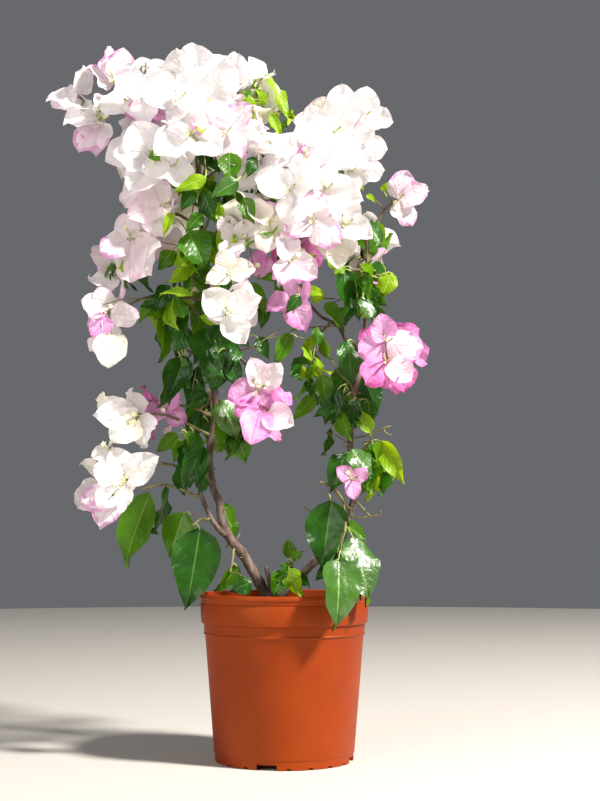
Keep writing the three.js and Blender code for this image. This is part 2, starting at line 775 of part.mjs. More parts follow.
// A shoot with its blades. A twig that bears nothing halfway runs straight.
function shootSolid({ path, radii, roll, blades }) {
  const bent = path.length > 3 || blades.some(({ bearer }) => bearer === 1);
  if (bent) return limbSolid(path, radii, 3, roll, blades);
  const atEnd = blades.map((blade) => ({ ...blade, bearer: 1 }));
  return limbSolid([path[0], path[2]], [radii[0], radii[2]], 3, roll, atEnd);
}

// The seeded rule: twigs fan out evenly from the stem's outer half into the space, and each bears flowers or
// leaves at its end and halfway along.
function growMass(mass) {
  const chance = chanceFrom(mass.seed);
  const { centre, stem, reach, bears } = mass;
  const phase = 2 * Math.PI * chance();
  const shoots = [{ path: stem, radii: stemRadii(stem.length), roll: phase, blades: [] }];
  const blade = bears === "leafy" ? mass.leaf * 0.55 : BRACT_LENGTH * 0.7;
  for (let i = 0; i < mass.twigs; i++) {
    const height = 1 - (2 * (i + 0.5)) / mass.twigs;
    const ring = Math.sqrt(1 - height * height);
    const turn = phase + i * GOLDEN_TURN;
    const fill = 0.75 + 0.25 * chance();
    const [dx, dy, dz] = reach.map((half) => Math.max(half - blade, half * 0.35) * fill);
    const end = centre.clone().add(at(ring * Math.cos(turn) * dx, ring * Math.sin(turn) * dy, height * dz));
    const root = placeOn(stem, 0.45 + 0.45 * chance()).point;
    const lift = 0.1 * root.distanceTo(end);
    const path = [root, between(root, end, 0.5).addScaledVector(UP, lift), end];
    const radii = path.map(() => TWIG_RADIUS);
    const roll = 2 * Math.PI * chance();
    if (!hasRoom(path.slice(1), mass, TWIG_RADIUS, 0)) continue;
    if (touchesOthers(limbSolid(path, radii, 3, roll), mass.name)) continue;
    addSpots(path, TWIG_RADIUS, mass.name + " twig");
    shoots.push({ path, radii, roll, blades: [] });
  }
  for (const shoot of shoots) {
    const last = shoot.path.length - 1;
    if (bears === "leafy") addLeaves(mass, shoot, last, 2, chance);
    else addFlower(mass, shoot, last, 0.85, chance);
    if (bears === "blossom") addFlower(mass, shoot, last - 1, 1.25, chance);
    else addLeaves(mass, shoot, last - 1, 2, chance);
  }
  const [first, ...twigs] = shoots;
  solids[mass.name] = twigs
    .filter(({ blades }) => blades.length)
    .reduce((whole, twig) => settled(joined([whole, shootSolid(twig)])) || whole, shootSolid(first));
}

for (const mass of masses) growMass(mass);

const FINISHES = {
  pot: { color: 0xb5512a, roughness: 0.42 },
  soil: { color: 0x3b2c22, roughness: 0.95 },
  bark: { color: 0x75655c, roughness: 0.85 },
  blossom: { color: 0xeedde8, roughness: 0.6 },
  leaves: { color: 0x3f7a2c, roughness: 0.5 },
};

function finishOf(name) {
  if (name === "pot" || name === "soil") return FINISHES[name];
  if (name in MASSES) return MASSES[name].bears === "leafy" ? FINISHES.leaves : FINISHES.blossom;
  return FINISHES.bark;
}

const plant = new THREE.Group();
for (const [name, solid] of Object.entries(solids)) {
  const { vertProperties, triVerts } = solid.getMesh();
  const geometry = new THREE.BufferGeometry();
  geometry.setAttribute("position", new THREE.BufferAttribute(vertProperties, 3));
  geometry.setIndex(new THREE.BufferAttribute(triVerts, 1));
  const material = new THREE.MeshStandardMaterial({ ...finishOf(name), metalness: 0 });
  const mesh = new THREE.Mesh(geometry, material);
  mesh.name = name;
  plant.add(mesh);
}

export default plant;
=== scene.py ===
import math

import bmesh
import bpy
import numpy as np
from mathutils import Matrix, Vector


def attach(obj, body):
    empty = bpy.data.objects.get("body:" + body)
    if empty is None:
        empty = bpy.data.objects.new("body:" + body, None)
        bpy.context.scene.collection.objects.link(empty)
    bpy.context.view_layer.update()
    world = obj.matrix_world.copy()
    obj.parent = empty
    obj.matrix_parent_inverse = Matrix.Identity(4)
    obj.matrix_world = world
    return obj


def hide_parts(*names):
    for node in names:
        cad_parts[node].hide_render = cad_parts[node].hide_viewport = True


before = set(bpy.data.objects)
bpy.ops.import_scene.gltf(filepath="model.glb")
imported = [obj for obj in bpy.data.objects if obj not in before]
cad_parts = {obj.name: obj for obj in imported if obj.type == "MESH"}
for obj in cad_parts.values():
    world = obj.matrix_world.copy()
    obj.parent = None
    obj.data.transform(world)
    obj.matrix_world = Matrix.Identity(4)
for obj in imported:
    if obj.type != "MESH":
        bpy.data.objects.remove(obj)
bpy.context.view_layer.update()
bpy.ops.object.select_all(action="DESELECT")

# Camera. It stands a metre and a half in front of the pot, a little above the rim, and looks slightly up
# with a long lens, so the two leaders stand side by side with the open gap between them.
MM = 0.001
CAMERA_PLACE = (16.4 * MM, -1490 * MM, 237 * MM)
CAMERA_RISE = 5.34
SENSOR = 36
FOCAL_PIXELS = 1400
FRAME_PIXELS = 801

bpy.ops.object.camera_add(location=CAMERA_PLACE, rotation=(math.radians(90 + CAMERA_RISE), 0, 0))
camera = bpy.context.object
camera.data.sensor_width = SENSOR
camera.data.lens = SENSOR * FOCAL_PIXELS / FRAME_PIXELS
bpy.context.scene.camera = camera

# Studio. A plain pale floor under a soft grey sky. One bright lamp high on the right stands for the sun,
# and a wide weak one on the left fills the shaded side.
FLOOR_RADIUS = 3
FLOOR_DROP = 0.2
KEY_PLACE = Vector((1.8, -1.15, 2.3))
FILL_PLACE = Vector((-1.6, -1.9, 1.1))
AIM = Vector((-0.03, 0, 0.45))

bpy.ops.mesh.primitive_circle_add(
    vertices=96, radius=FLOOR_RADIUS, fill_type="NGON", location=(0, 0, -FLOOR_DROP * MM)
)
floor = bpy.context.object
floor.name = "floor"
floor_paint = bpy.data.materials.new("floor_paint")
floor_paint.use_nodes = True
floor_shader = floor_paint.node_tree.nodes["Principled BSDF"]
floor_shader.inputs["Base Color"].default_value = (0.52, 0.5, 0.47, 1)
floor_shader.inputs["Roughness"].default_value = 0.8
floor.data.materials.append(floor_paint)

sky = bpy.data.worlds.new("soft_sky")
sky.use_nodes = True
sky_light = sky.node_tree.nodes["Background"]
sky_light.inputs["Color"].default_value = (0.36, 0.37, 0.39, 1)
sky_light.inputs["Strength"].default_value = 0.38
bpy.context.scene.world = sky
bpy.context.scene.view_settings.view_transform = "Standard"


def hang_lamp(name, place, size, watts, colour):
    """A round lamp that shines on the middle of the plant."""
    bpy.ops.object.light_add(type="AREA", radius=size, location=place)
    lamp = bpy.context.object
    lamp.name = name
    lamp.rotation_euler = (AIM - place).to_track_quat("-Z", "Y").to_euler()
    lamp.data.shape = "DISK"
    lamp.data.size = size
    lamp.data.energy = watts
    lamp.data.color = colour


hang_lamp("sun_lamp", KEY_PLACE, 0.4, 250, (1, 0.95, 0.88))
hang_lamp("fill_lamp", FILL_PLACE, 1.6, 36, (1, 0.95, 0.9))


# Pot. A round tapered nursery pot moulded in satin terracotta-coloured plastic, with a turned lip, a groove
# and two beads under it, a stepped foot and drain notches round the foot.
POT_LIP = 90
POT_FOOT = 72.1
POT_HEIGHT = 172.4
POT_STEP = 8.5
POT_LOWER_BEAD = 130.8
POT_UPPER_BEAD = 142.4
POT_GROOVE = 162.8
POT_WALL = 2.2
POT_FLOOR = 9
FOOT_RING = 5
FOOT_HOLLOW = 3.5
POT_SIDES = 160
NOTCHES = 20
FIRST_NOTCH = -13.7
WIDE_NOTCH_EVERY = 5
WIDE_NOTCH = (21, 5.8, 7)
SMALL_NOTCH = (4.5, 2, 4)
BODY_TOP = POT_LIP - 6.7
BODY_FOOT = POT_FOOT + 1.1
NECK = POT_LIP - 5.2
COLLAR = POT_LIP - 1.4
NEAR = 0.01 * MM
SMOOTH_UNDER = 28

# Radius and height of each corner of the turned profile, up the outside and down the inside.
POT_OUTSIDE = [
    (POT_FOOT - 0.5, 0),
    (POT_FOOT, 0.5),
    (POT_FOOT + 0.4, POT_STEP - 0.3),
    (BODY_FOOT - 0.1, POT_STEP + 0.6),
    (BODY_FOOT + 0.1, POT_STEP + 1.4),
    (BODY_TOP - 0.1, POT_LOWER_BEAD - 2),
    (BODY_TOP + 0.5, POT_LOWER_BEAD - 1.1),
    (BODY_TOP + 1.6, POT_LOWER_BEAD),
    (BODY_TOP + 1.5, POT_LOWER_BEAD + 0.8),
    (NECK - 0.6, POT_LOWER_BEAD + 1.6),
    (NECK, POT_UPPER_BEAD - 1.6),
    (NECK + 1.2, POT_UPPER_BEAD - 0.9),
    (NECK + 2.5, POT_UPPER_BEAD - 0.2),
    (NECK + 2.7, POT_UPPER_BEAD + 0.6),
    (COLLAR - 0.1, POT_GROOVE - 1.3),
    (COLLAR - 0.3, POT_GROOVE - 0.8),
    (COLLAR - 0.9, POT_GROOVE - 0.3),
    (COLLAR - 0.9, POT_GROOVE + 0.3),
    (COLLAR - 0.3, POT_GROOVE + 0.8),
    (COLLAR + 0.1, POT_HEIGHT - 5.4),
    (POT_LIP - 0.4, POT_HEIGHT - 4.9),
    (POT_LIP, POT_HEIGHT - 4.3),
    (POT_LIP, POT_HEIGHT - 1.1),
    (POT_LIP - 0.3, POT_HEIGHT - 0.4),
    (POT_LIP - 1.1, POT_HEIGHT),
]
POT_INSIDE = [
    (POT_LIP - 2.8, POT_HEIGHT - 0.2),
    (POT_LIP - 3.6, POT_HEIGHT - 1),
    (POT_LIP - 4.2, POT_GROOVE),
    (NECK - POT_WALL - 0.3, POT_UPPER_BEAD - 2),
    (BODY_TOP - POT_WALL, POT_LOWER_BEAD),
    (BODY_FOOT - POT_WALL, POT_FLOOR),
]


def turn_profile(name, profile, sides):
    """A ring of the first radius, drawn up and in or out step by step to each radius and height."""
    radius, height = profile[0]
    bpy.ops.mesh.primitive_circle_add(vertices=sides, radius=radius * MM, location=(0, 0, height * MM))
    turned = bpy.context.object
    turned.name = name
    bpy.ops.object.transform_apply(location=True)
    bpy.ops.object.mode_set(mode="EDIT")
    bpy.ops.mesh.select_all(action="SELECT")
    for new_radius, new_height in profile[1:]:
        bpy.ops.mesh.extrude_region()
        share = new_radius / radius
        bpy.ops.transform.resize(value=(share, share, 1), center_override=(0, 0, 0))
        bpy.ops.transform.translate(value=(0, 0, (new_height - height) * MM))
        radius, height = new_radius, new_height
    bpy.ops.object.mode_set(mode="OBJECT")
    return turned


def reshape(piece, name, kind, **settings):
    """A modifier laid over a piece and then made part of its shape."""
    change = piece.modifiers.new(name, kind)
    for setting, value in settings.items():
        setattr(change, setting, value)
    bpy.context.view_layer.objects.active = piece
    bpy.ops.object.modifier_apply(modifier=name)


def select_corners(piece, wanted):
    """In edit mode, selects the corners whose place passes, and nothing else."""
    bpy.ops.mesh.select_all(action="DESELECT")
    shape = bmesh.from_edit_mesh(piece.data)
    for corner in shape.verts:
        corner.select_set(wanted(corner.co))
    shape.select_flush_mode()
    bmesh.update_edit_mesh(piece.data)


def fill_ring(piece, wanted):
    """In edit mode, closes the ring of corners whose place passes with one face."""
    select_corners(piece, wanted)
    bpy.ops.mesh.edge_face_add()


def finish_shape():
    """Turns all faces of the piece in edit mode outward and goes back to object mode."""
    bpy.ops.mesh.select_all(action="SELECT")
    bpy.ops.mesh.normals_make_consistent(inside=False)
    bpy.ops.object.mode_set(mode="OBJECT")


pot = turn_profile("pot_shell", POT_OUTSIDE + POT_INSIDE, POT_SIDES)
bpy.ops.object.mode_set(mode="EDIT")
inner_floor = (BODY_FOOT - 1) * MM
fill_ring(pot, lambda co: abs(co.z - POT_FLOOR * MM) < NEAR and co.xy.length < inner_floor)
fill_ring(pot, lambda co: abs(co.z) < NEAR)
bpy.ops.mesh.inset(thickness=FOOT_RING * MM)
bpy.ops.mesh.extrude_region()
bpy.ops.transform.translate(value=(0, 0, FOOT_HOLLOW * MM))
finish_shape()

for i in range(NOTCHES):
    width, high, deep = SMALL_NOTCH if i % WIDE_NOTCH_EVERY else WIDE_NOTCH
    angle = math.radians(FIRST_NOTCH - 90 + i * 360 / NOTCHES)
    place = (POT_FOOT * MM * math.cos(angle), POT_FOOT * MM * math.sin(angle), 0)
    bpy.ops.mesh.primitive_cube_add(size=1, location=place, rotation=(0, 0, angle))
    cutter = bpy.context.object
    cutter.scale = (2 * deep * MM, width * MM, 2 * high * MM)
    bpy.ops.object.transform_apply(location=True, rotation=True, scale=True)
    reshape(pot, "drain_notch", "BOOLEAN", operation="DIFFERENCE", object=cutter)
    bpy.data.objects.remove(cutter)

bpy.ops.object.select_all(action="DESELECT")
pot.select_set(True)
bpy.ops.object.shade_smooth_by_angle(angle=math.radians(SMOOTH_UNDER))


def speckle(tree, scale, detail, stretch=(1, 1, 1)):
    """A cloudy pattern in the piece's own coordinates; the scale is in patches per metre."""
    place = tree.nodes.new("ShaderNodeTexCoord")
    mapping = tree.nodes.new("ShaderNodeMapping")
    mapping.inputs["Scale"].default_value = stretch
    clouds = tree.nodes.new("ShaderNodeTexNoise")
    clouds.inputs["Scale"].default_value = scale
    clouds.inputs["Detail"].default_value = detail
    tree.links.new(place.outputs["Object"], mapping.inputs["Vector"])
    tree.links.new(mapping.outputs["Vector"], clouds.inputs["Vector"])
    return clouds.outputs["Fac"]


def blend_colours(tree, amount, stops):
    """Colours dealt out along a ramp: each stop is a place from 0 to 1 and a linear colour."""
    ramp = tree.nodes.new("ShaderNodeValToRGB")
    while len(ramp.color_ramp.elements) < len(stops):
        ramp.color_ramp.elements.new(0.5)
    for element, (place, colour) in zip(ramp.color_ramp.elements, stops):
        element.position = place
        element.color = (*colour, 1)
    tree.links.new(amount, ramp.inputs["Fac"])
    return ramp.outputs["Color"]


def new_finish(name, roughness, scale, detail, stops, stretch=(1, 1, 1)):
    """A finish whose colour drifts through the stops in clouds, with its nodes and its shader."""
    finish = bpy.data.materials.new(name)
    finish.use_nodes = True
    tree = finish.node_tree
    shader = tree.nodes["Principled BSDF"]
    shader.inputs["Roughness"].default_value = roughness
    shade = blend_colours(tree, speckle(tree, scale, detail, stretch), stops)
    tree.links.new(shade, shader.inputs["Base Color"])
    return finish, tree, shader


def raise_grain(tree, shader, height, depth):
    """Fine relief of the given depth in metres, from a pattern."""
    bump = tree.nodes.new("ShaderNodeBump")
    bump.inputs["Strength"].default_value = 1
    bump.inputs["Distance"].default_value = depth
    tree.links.new(height, bump.inputs["Height"])
    tree.links.new(bump.outputs["Normal"], shader.inputs["Normal"])


pot_colours = [(0.3, (0.2, 0.0185, 0.001)), (0.7, (0.275, 0.032, 0.0015))]
pot_plastic, tree, shader = new_finish("pot_plastic", 0.4, 11, 4, pot_colours)
dull = tree.nodes.new("ShaderNodeMapRange")
dull.inputs["To Min"].default_value = 0.46
dull.inputs["To Max"].default_value = 0.6
tree.links.new(speckle(tree, 60, 8), dull.inputs["Value"])
tree.links.new(dull.outputs["Result"], shader.inputs["Roughness"])
raise_grain(tree, shader, speckle(tree, 900, 3), 0.05 * MM)
shader.inputs["Specular IOR Level"].default_value = 0.6
shader.inputs["Specular Tint"].default_value = (1, 0.55, 0.25, 1)
pot.data.materials.append(pot_plastic)
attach(pot, "root")
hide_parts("pot")


# Potting soil. A crumbly dark mix of peat and bark that stops two centimetres below the rim, loosely
# scattered with bark crumbs and a few pale grains of perlite.
SOIL_TOP = 152.4
SOIL_RADIUS = BODY_TOP - POT_WALL + 0.7
SOIL_FOOT = BODY_FOOT - POT_WALL - 0.6
SOIL_MIDDLE = 60
SOIL_SIDES = 96
SOIL_RINGS = 24
SOIL_LUMP = 7
SOIL_RISE = 5
CRUMBS = 520
PERLITE_EVERY = 13

soil_profile = [(SOIL_FOOT, POT_FLOOR + 0.3), (SOIL_RADIUS, SOIL_TOP - 1.5)]
soil = turn_profile("potting_soil", soil_profile, SOIL_SIDES)
bpy.ops.object.mode_set(mode="EDIT")
fill_ring(soil, lambda co: co.z < SOIL_MIDDLE * MM)
fill_ring(soil, lambda co: co.z > SOIL_MIDDLE * MM)
for ring in range(SOIL_RINGS):
    bpy.ops.mesh.inset(thickness=SOIL_RADIUS * MM / (SOIL_RINGS + 1))
finish_shape()


def swell(piece, name, width, detail, height, **settings):
    """Cloudy lumps of a width and a height in millimetres, raised on a piece."""
    clouds = bpy.data.textures.new(name, "CLOUDS")
    clouds.noise_scale = width * MM
    clouds.noise_depth = detail
    strength = height * MM
    reshape(piece, name, "DISPLACE", texture=clouds, texture_coords="LOCAL", strength=strength, **settings)


heap = soil.vertex_groups.new(name="surface")
heap.add([v.index for v in soil.data.vertices if v.co.z > SOIL_MIDDLE * MM], 1, "REPLACE")
swell(soil, "crumble", SOIL_LUMP, 3, SOIL_RISE, direction="Z", vertex_group="surface")
bpy.ops.object.select_all(action="DESELECT")
soil.select_set(True)
bpy.ops.object.shade_smooth()

soil_colours = [(0.35, (0.012, 0.008, 0.005)), (0.55, (0.04, 0.026, 0.016)), (0.75, (0.11, 0.072, 0.045))]
soil_mix, tree, shader = new_finish("soil_mix", 0.95, 260, 8, soil_colours)
raise_grain(tree, shader, speckle(tree, 700, 6), 0.6 * MM)
soil.data.materials.append(soil_mix)


def chance_from(seed):
    """Numbers from 0 to 1 that come out the same each time for the same seed."""
    state = seed * 7919 + 17

    def draw():
        nonlocal state
        state = state * 16807 % 2147483647
        return state / 2147483647

    draw()
    draw()
    return draw


def read_rows(rows, what, width, kind):
    """One property of each corner or face as a plain array."""
    values = np.empty(len(rows) * width, dtype=kind)
    rows.foreach_get(what, values)
    return values


def shape_of(model):
    """A modelled piece as plain arrays: corners, face corners, their counts, finishes and map."""
    data = model.data
    corners = read_rows(data.vertices, "co", 3, float).reshape(-1, 3)
    links = read_rows(data.loops, "vertex_index", 1, np.int32)
    counts = read_rows(data.polygons, "loop_total", 1, np.int32)
    finishes = read_rows(data.polygons, "material_index", 1, np.int32)
    spread = read_rows(data.uv_layers[0].data, "uv", 2, float)
    return corners, links, counts, finishes, spread


def join_copies(name, dealt, finishes):
    """One mesh of many copies. Each model comes with its places: root, three axes as rows, and size."""
    parts = []
    first = 0
    for model, places in dealt:
        if not places:
            continue
        corners, links, counts, kinds, spread = shape_of(model)
        roots, axes, sizes = (np.array(column) for column in zip(*places))
        moved = roots[:, None, :] + sizes[:, None, None] * np.einsum("nj,kji->kni", corners, axes)
        starts = first + len(corners) * np.arange(len(places))
        linked = links[None, :] + starts[:, None]
        repeated = [np.tile(values, len(places)) for values in (counts, kinds, spread)]
        parts.append((moved.reshape(-1), linked.reshape(-1), *repeated))
        first += len(corners) * len(places)
    corners, links, counts, kinds, spread = (np.concatenate(column) for column in zip(*parts))
    data = bpy.data.meshes.new(name)
    data.vertices.add(len(corners) // 3)
    data.vertices.foreach_set("co", corners)
    data.loops.add(len(links))
    data.loops.foreach_set("vertex_index", links.astype(np.int32))
    data.polygons.add(len(counts))
    data.polygons.foreach_set("loop_start", (np.cumsum(counts) - counts).astype(np.int32))
    data.polygons.foreach_set("material_index", kinds)
    data.polygons.foreach_set("use_smooth", np.ones(len(counts), dtype=bool))
    data.uv_layers.new(name="blade").data.foreach_set("uv", spread)
    data.update(calc_edges=True)
    data.validate()
    for finish in finishes:
        data.materials.append(finish)
    piece = bpy.data.objects.new(name, data)
    bpy.context.scene.collection.objects.link(piece)
    return piece


def any_way(chance):
    """A step of up to half a unit along each axis."""
    return Vector((chance() - 0.5, chance() - 0.5, chance() - 0.5))


def turned_axes(chance):
    """Three square axes that point anywhere."""
    first = any_way(chance).normalized()
    second = first.cross(any_way(chance)).normalized()
    return [tuple(first), tuple(second), tuple(first.cross(second))]


bpy.ops.mesh.primitive_ico_sphere_add(subdivisions=1, radius=1, location=(0, 0, 0))
crumb = bpy.context.object
bpy.ops.object.mode_set(mode="EDIT")
bpy.ops.transform.resize(value=(1, 0.72, 0.5))
bpy.ops.transform.vertex_random(offset=0.16, seed=3)
bpy.ops.object.mode_set(mode="OBJECT")

chance = chance_from(91)
bark_crumbs, perlite = [], []
for i in range(CRUMBS):
    reach = (SOIL_RADIUS - 4) * math.sqrt(chance())
    turn = 2 * math.pi * chance()
    pale = i % PERLITE_EVERY == 0
    size = (0.8 + 0.9 * chance()) if pale else (0.9 + 2.4 * chance() ** 2)
    height = SOIL_TOP - 1 + 1.5 * chance()
    root = (reach * MM * math.cos(turn), reach * MM * math.sin(turn), height * MM)
    (perlite if pale else bark_crumbs).append((root, turned_axes(chance), size * MM))

bark_colours = [(0.35, (0.03, 0.018, 0.01)), (0.6, (0.12, 0.065, 0.035)), (0.8, (0.2, 0.13, 0.08))]
crumb_bark = new_finish("crumb_bark", 0.9, 180, 3, bark_colours)[0]
perlite_colours = [(0.3, (0.5, 0.48, 0.44)), (0.7, (0.78, 0.76, 0.71))]
perlite_grain = new_finish("perlite_grain", 0.85, 400, 3, perlite_colours)[0]
crumbs = join_copies("soil_crumbs", [(crumb, bark_crumbs)], [crumb_bark])
grains = join_copies("perlite_grains", [(crumb, perlite)], [perlite_grain])
bpy.data.objects.remove(crumb)
for piece in (soil, crumbs, grains):
    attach(piece, "root")
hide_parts("soil")


# Trunk and boughs. A short woody stock forks just above the soil into two leaders that rise either side of
# the gap and lean in again at the top; side boughs and a cross bough leave them, and one old stub is cut off.
TRUNK_FOOT = Vector((-12, -3, SOIL_TOP))
TRUNK_FORK = Vector((-14, -2, 165))
TRUNK_RADII = (11.5, 11.2, 10.7, 10, 9.2, 8.5, 8, 7.6, 7.2, 6.4)
TRUNK_SPACE = 13
ROOT_SPURS = 5
SPUR_COURSE = ((8, 3), (2, 11), (-2, 18))
SPUR_RADII = (5, 4.6, 4, 3.4, 2.9, 2.3, 1.6)
NODE_EVERY = 6
NODE_SWELL = 1.13
BARK_VOXEL = 0.95
FISSURE_WIDTH = 4.5
FISSURE_DEPTH = 1.1

# Each bough rises from the stock, continues another or leaves one partway. Then come the points that its
# middle runs through, and its radii at foot and tip.
LIMBS = {
    "left_bough_lower": {
        "rises": True,
        "path": [
            (-20, 0, 172), (-31, -2, 191), (-46, -5, 216), (-56, -6, 227), (-65, -6, 243), (-68, -5, 262)
        ],
        "radii": (6, 4.6),
    },
    "left_bough_middle": {
        "continues": "left_bough_lower",
        "path": [(-75, -4, 281), (-79, -2, 300), (-80, 1, 325), (-75, 3, 353), (-75, 4, 383), (-77, 6, 421)],
        "radii": (4.3, 3.4),
    },
    "left_bough_upper": {
        "continues": "left_bough_middle",
        "path": [(-81, 6, 464), (-84, 4, 507), (-89, 2, 551), (-92, 0, 594), (-95, 0, 633)],
        "radii": (3.3, 2.2),
    },
    "left_side_bough": {
        "leaves": ("left_bough_lower", 0.72),
        "path": [(-74, -18, 246), (-82, -21, 262), (-88, -24, 278)],
        "radii": (3.2, 2.2),
    },
    "top_left_bough": {
        "leaves": ("left_bough_upper", 0.78),
        "path": [(-112, -14, 625), (-138, -20, 660), (-165, -24, 690)],
        "radii": (2.2, 1.6),
    },
    "right_bough_lower": {
        "rises": True,
        "path": [(-1, 0, 172.5), (10, 0, 183), (26, 0, 199), (48, 2, 219), (64, 4, 240), (72, 6, 265)],
        "radii": (4.4, 3.6),
    },
    "right_bough_middle": {
        "continues": "right_bough_lower",
        "path": [(71, 7, 294), (70, 8, 324), (71, 8, 351), (73, 8, 378), (79, 8, 402), (85, 8, 426)],
        "radii": (3.5, 2.9),
    },
    "right_bough_upper": {
        "continues": "right_bough_middle",
        "path": [
            (87, 8, 453), (88, 6, 480), (91, 2, 518), (88, 2, 548), (83, 2, 577), (75, 0, 607), (65, 0, 639)
        ],
        "radii": (2.8, 1.9),
    },
    "cross_bough": {
        "leaves": ("right_bough_middle", 0.9),
        "path": [(59, -4, 453), (38, -11, 466), (22, -14, 484), (9, -16, 503)],
        "radii": (2.1, 1.5),
    },
    "pruned_stub": {
        "rises": True,
        "path": [(-13, -10, 173), (-16, -13, 186), (-19, -15, 200)],
        "radii": (2.9, 2.4),
    },
}
BARK_STEP = 5
SET_OFF = 5
UP = Vector((0, 0, 1))


def smooth_path(points, steps):
    """Points of a smooth curve through the given ones, evenly shared out over its spans."""
    before = points[0] * 2 - points[1]
    after = points[-1] * 2 - points[-2]
    ends = [before, *points, after]
    path = []
    for step in range(steps + 1):
        position = step / steps * (len(points) - 1)
        span = min(int(position), len(points) - 2)
        t = position - span
        a, b, c, d = ends[span:span + 4]
        into = 0.5 * (c - a)
        out = 0.5 * (d - b)
        path.append(
            (2 * b - 2 * c + into + out) * t ** 3 + (3 * c - 3 * b - 2 * into - out) * t ** 2 + into * t + b
        )
    return path


def length_of(path):
    """How long a path is from point to point."""
    return sum((b - a).length for a, b in zip(path, path[1:]))


def place_on(path, share):
    """The place at a share of a path's points, and the path's direction there."""
    position = min(share, 0.999) * (len(path) - 1)
    i = int(position)
    return path[i].lerp(path[i + 1], position - i), (path[i + 1] - path[i]).normalized()


def foot_on(limb, share, toward):
    """Where a shoot leaves a limb toward a point, sunk into the bark, and which way it sets off."""
    point, along = place_on(limb["path"], share)
    away = toward - point
    out = (away - along * away.dot(along)).normalized()
    bark = limb["radii"][0] + (limb["radii"][1] - limb["radii"][0]) * share
    return point + out * (0.4 * bark), out


def path_from(foot, out, points, step):
    """A path that sets off one way for a little and then runs smoothly through points."""
    along = [foot + out * SET_OFF, *points]
    return [foot, *smooth_path(along, max(math.ceil(length_of(along) / step), len(along) - 1))]


limbs = {}
for name, limb in LIMBS.items():
    points = [Vector(point) for point in limb["path"]]
    if "continues" in limb:
        before = limbs[limb["continues"]]["path"]
        foot, rest = before[-1], points
        out = (before[-1] - before[-2]).normalized()
    elif "leaves" in limb:
        carrier, share = limb["leaves"]
        foot, out = foot_on(limbs[carrier], share, points[0])
        rest = points
    else:
        foot, rest = points[0], points[1:]
        out = (points[1] - foot).normalized()
    limbs[name] = {"path": path_from(foot, out, rest, BARK_STEP), "radii": limb["radii"]}


def draw_stems(name, stems, finish, sides):
    """Round stems along paths, each point with its radius, drawn as one curve and made a mesh."""
    bpy.ops.curve.primitive_bezier_curve_add(location=(0, 0, 0))
    drawn = bpy.context.object
    drawn.name = name
    drawn.data.splines.clear()
    for path, radii in stems:
        spline = drawn.data.splines.new("POLY")
        spline.points.add(len(path) - 1)
        for knot, point, radius in zip(spline.points, path, radii):
            knot.co = (*(point * MM), 1)
            knot.radius = radius * MM
    drawn.data.dimensions = "3D"
    drawn.data.bevel_depth = 1
    drawn.data.bevel_resolution = sides
    drawn.data.use_fill_caps = True
    bpy.ops.object.convert(target="MESH")
    drawn = bpy.context.object
    drawn.data.materials.clear()
    drawn.data.materials.append(finish)
    return drawn


def knobbly(path, foot, tip, chance):
    """Radii that taper from foot to tip, swollen a little at the nodes."""
    radii = []
    for i in range(len(path)):
        share = i / (len(path) - 1)
        node = NODE_SWELL if i % NODE_EVERY == NODE_EVERY // 2 else 1
        radii.append((foot + (tip - foot) * share) * node * (0.96 + 0.08 * chance()))
    return radii


chance = chance_from(7)
woody = []
for name, limb in limbs.items():
    woody.append((limb["path"], knobbly(limb["path"], *limb["radii"], chance)))
    if LIMBS[name].get("rises"):
        foot = limb["path"][0]
        start = TRUNK_FOOT.lerp(TRUNK_FORK, 0.6)
        thick = limb["radii"][0]
        into = [start, start.lerp(foot, 0.6) + UP, foot]
        woody.append((smooth_path(into, 6), [thick * (1.3 - 0.05 * i) for i in range(7)]))
stock = [TRUNK_FOOT - 4 * UP, TRUNK_FOOT, TRUNK_FOOT.lerp(TRUNK_FORK, 0.4), TRUNK_FORK]
woody.append((smooth_path(stock, len(TRUNK_RADII) - 1), TRUNK_RADII))
for i in range(ROOT_SPURS):
    angle = 2 * math.pi * (i + 0.3) / ROOT_SPURS
    outward = Vector((math.cos(angle), math.sin(angle), 0))
    spur = [TRUNK_FOOT + rise * UP + out * outward for rise, out in SPUR_COURSE]
    woody.append((smooth_path(spur, len(SPUR_RADII) - 1), SPUR_RADII))

old_bark_colours = [
    (0.28, (0.03, 0.017, 0.012)),
    (0.45, (0.085, 0.052, 0.04)),
    (0.6, (0.15, 0.105, 0.085)),
    (0.78, (0.27, 0.22, 0.19)),
]
old_bark, tree, shader = new_finish("old_bark", 0.82, 150, 8, old_bark_colours, (1, 1, 0.22))
raise_grain(tree, shader, speckle(tree, 420, 6, (1, 1, 0.3)), 0.5 * MM)
bark = draw_stems("bark_trunk_and_boughs", woody, old_bark, 3)
reshape(bark, "fused", "REMESH", mode="VOXEL", voxel_size=BARK_VOXEL * MM)
reshape(bark, "eased", "SMOOTH", factor=0.5, iterations=3)
swell(bark, "fissures", FISSURE_WIDTH, 2, FISSURE_DEPTH)
bpy.ops.object.shade_smooth()
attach(bark, "root")
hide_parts("trunk", *LIMBS)


# Shoots. From the boughs grow slim side shoots, each in a space of its own, and twigs fan out from them and
# carry finer twigs. The shoots bear leaves, flowers or both; where each goes is worked out here.

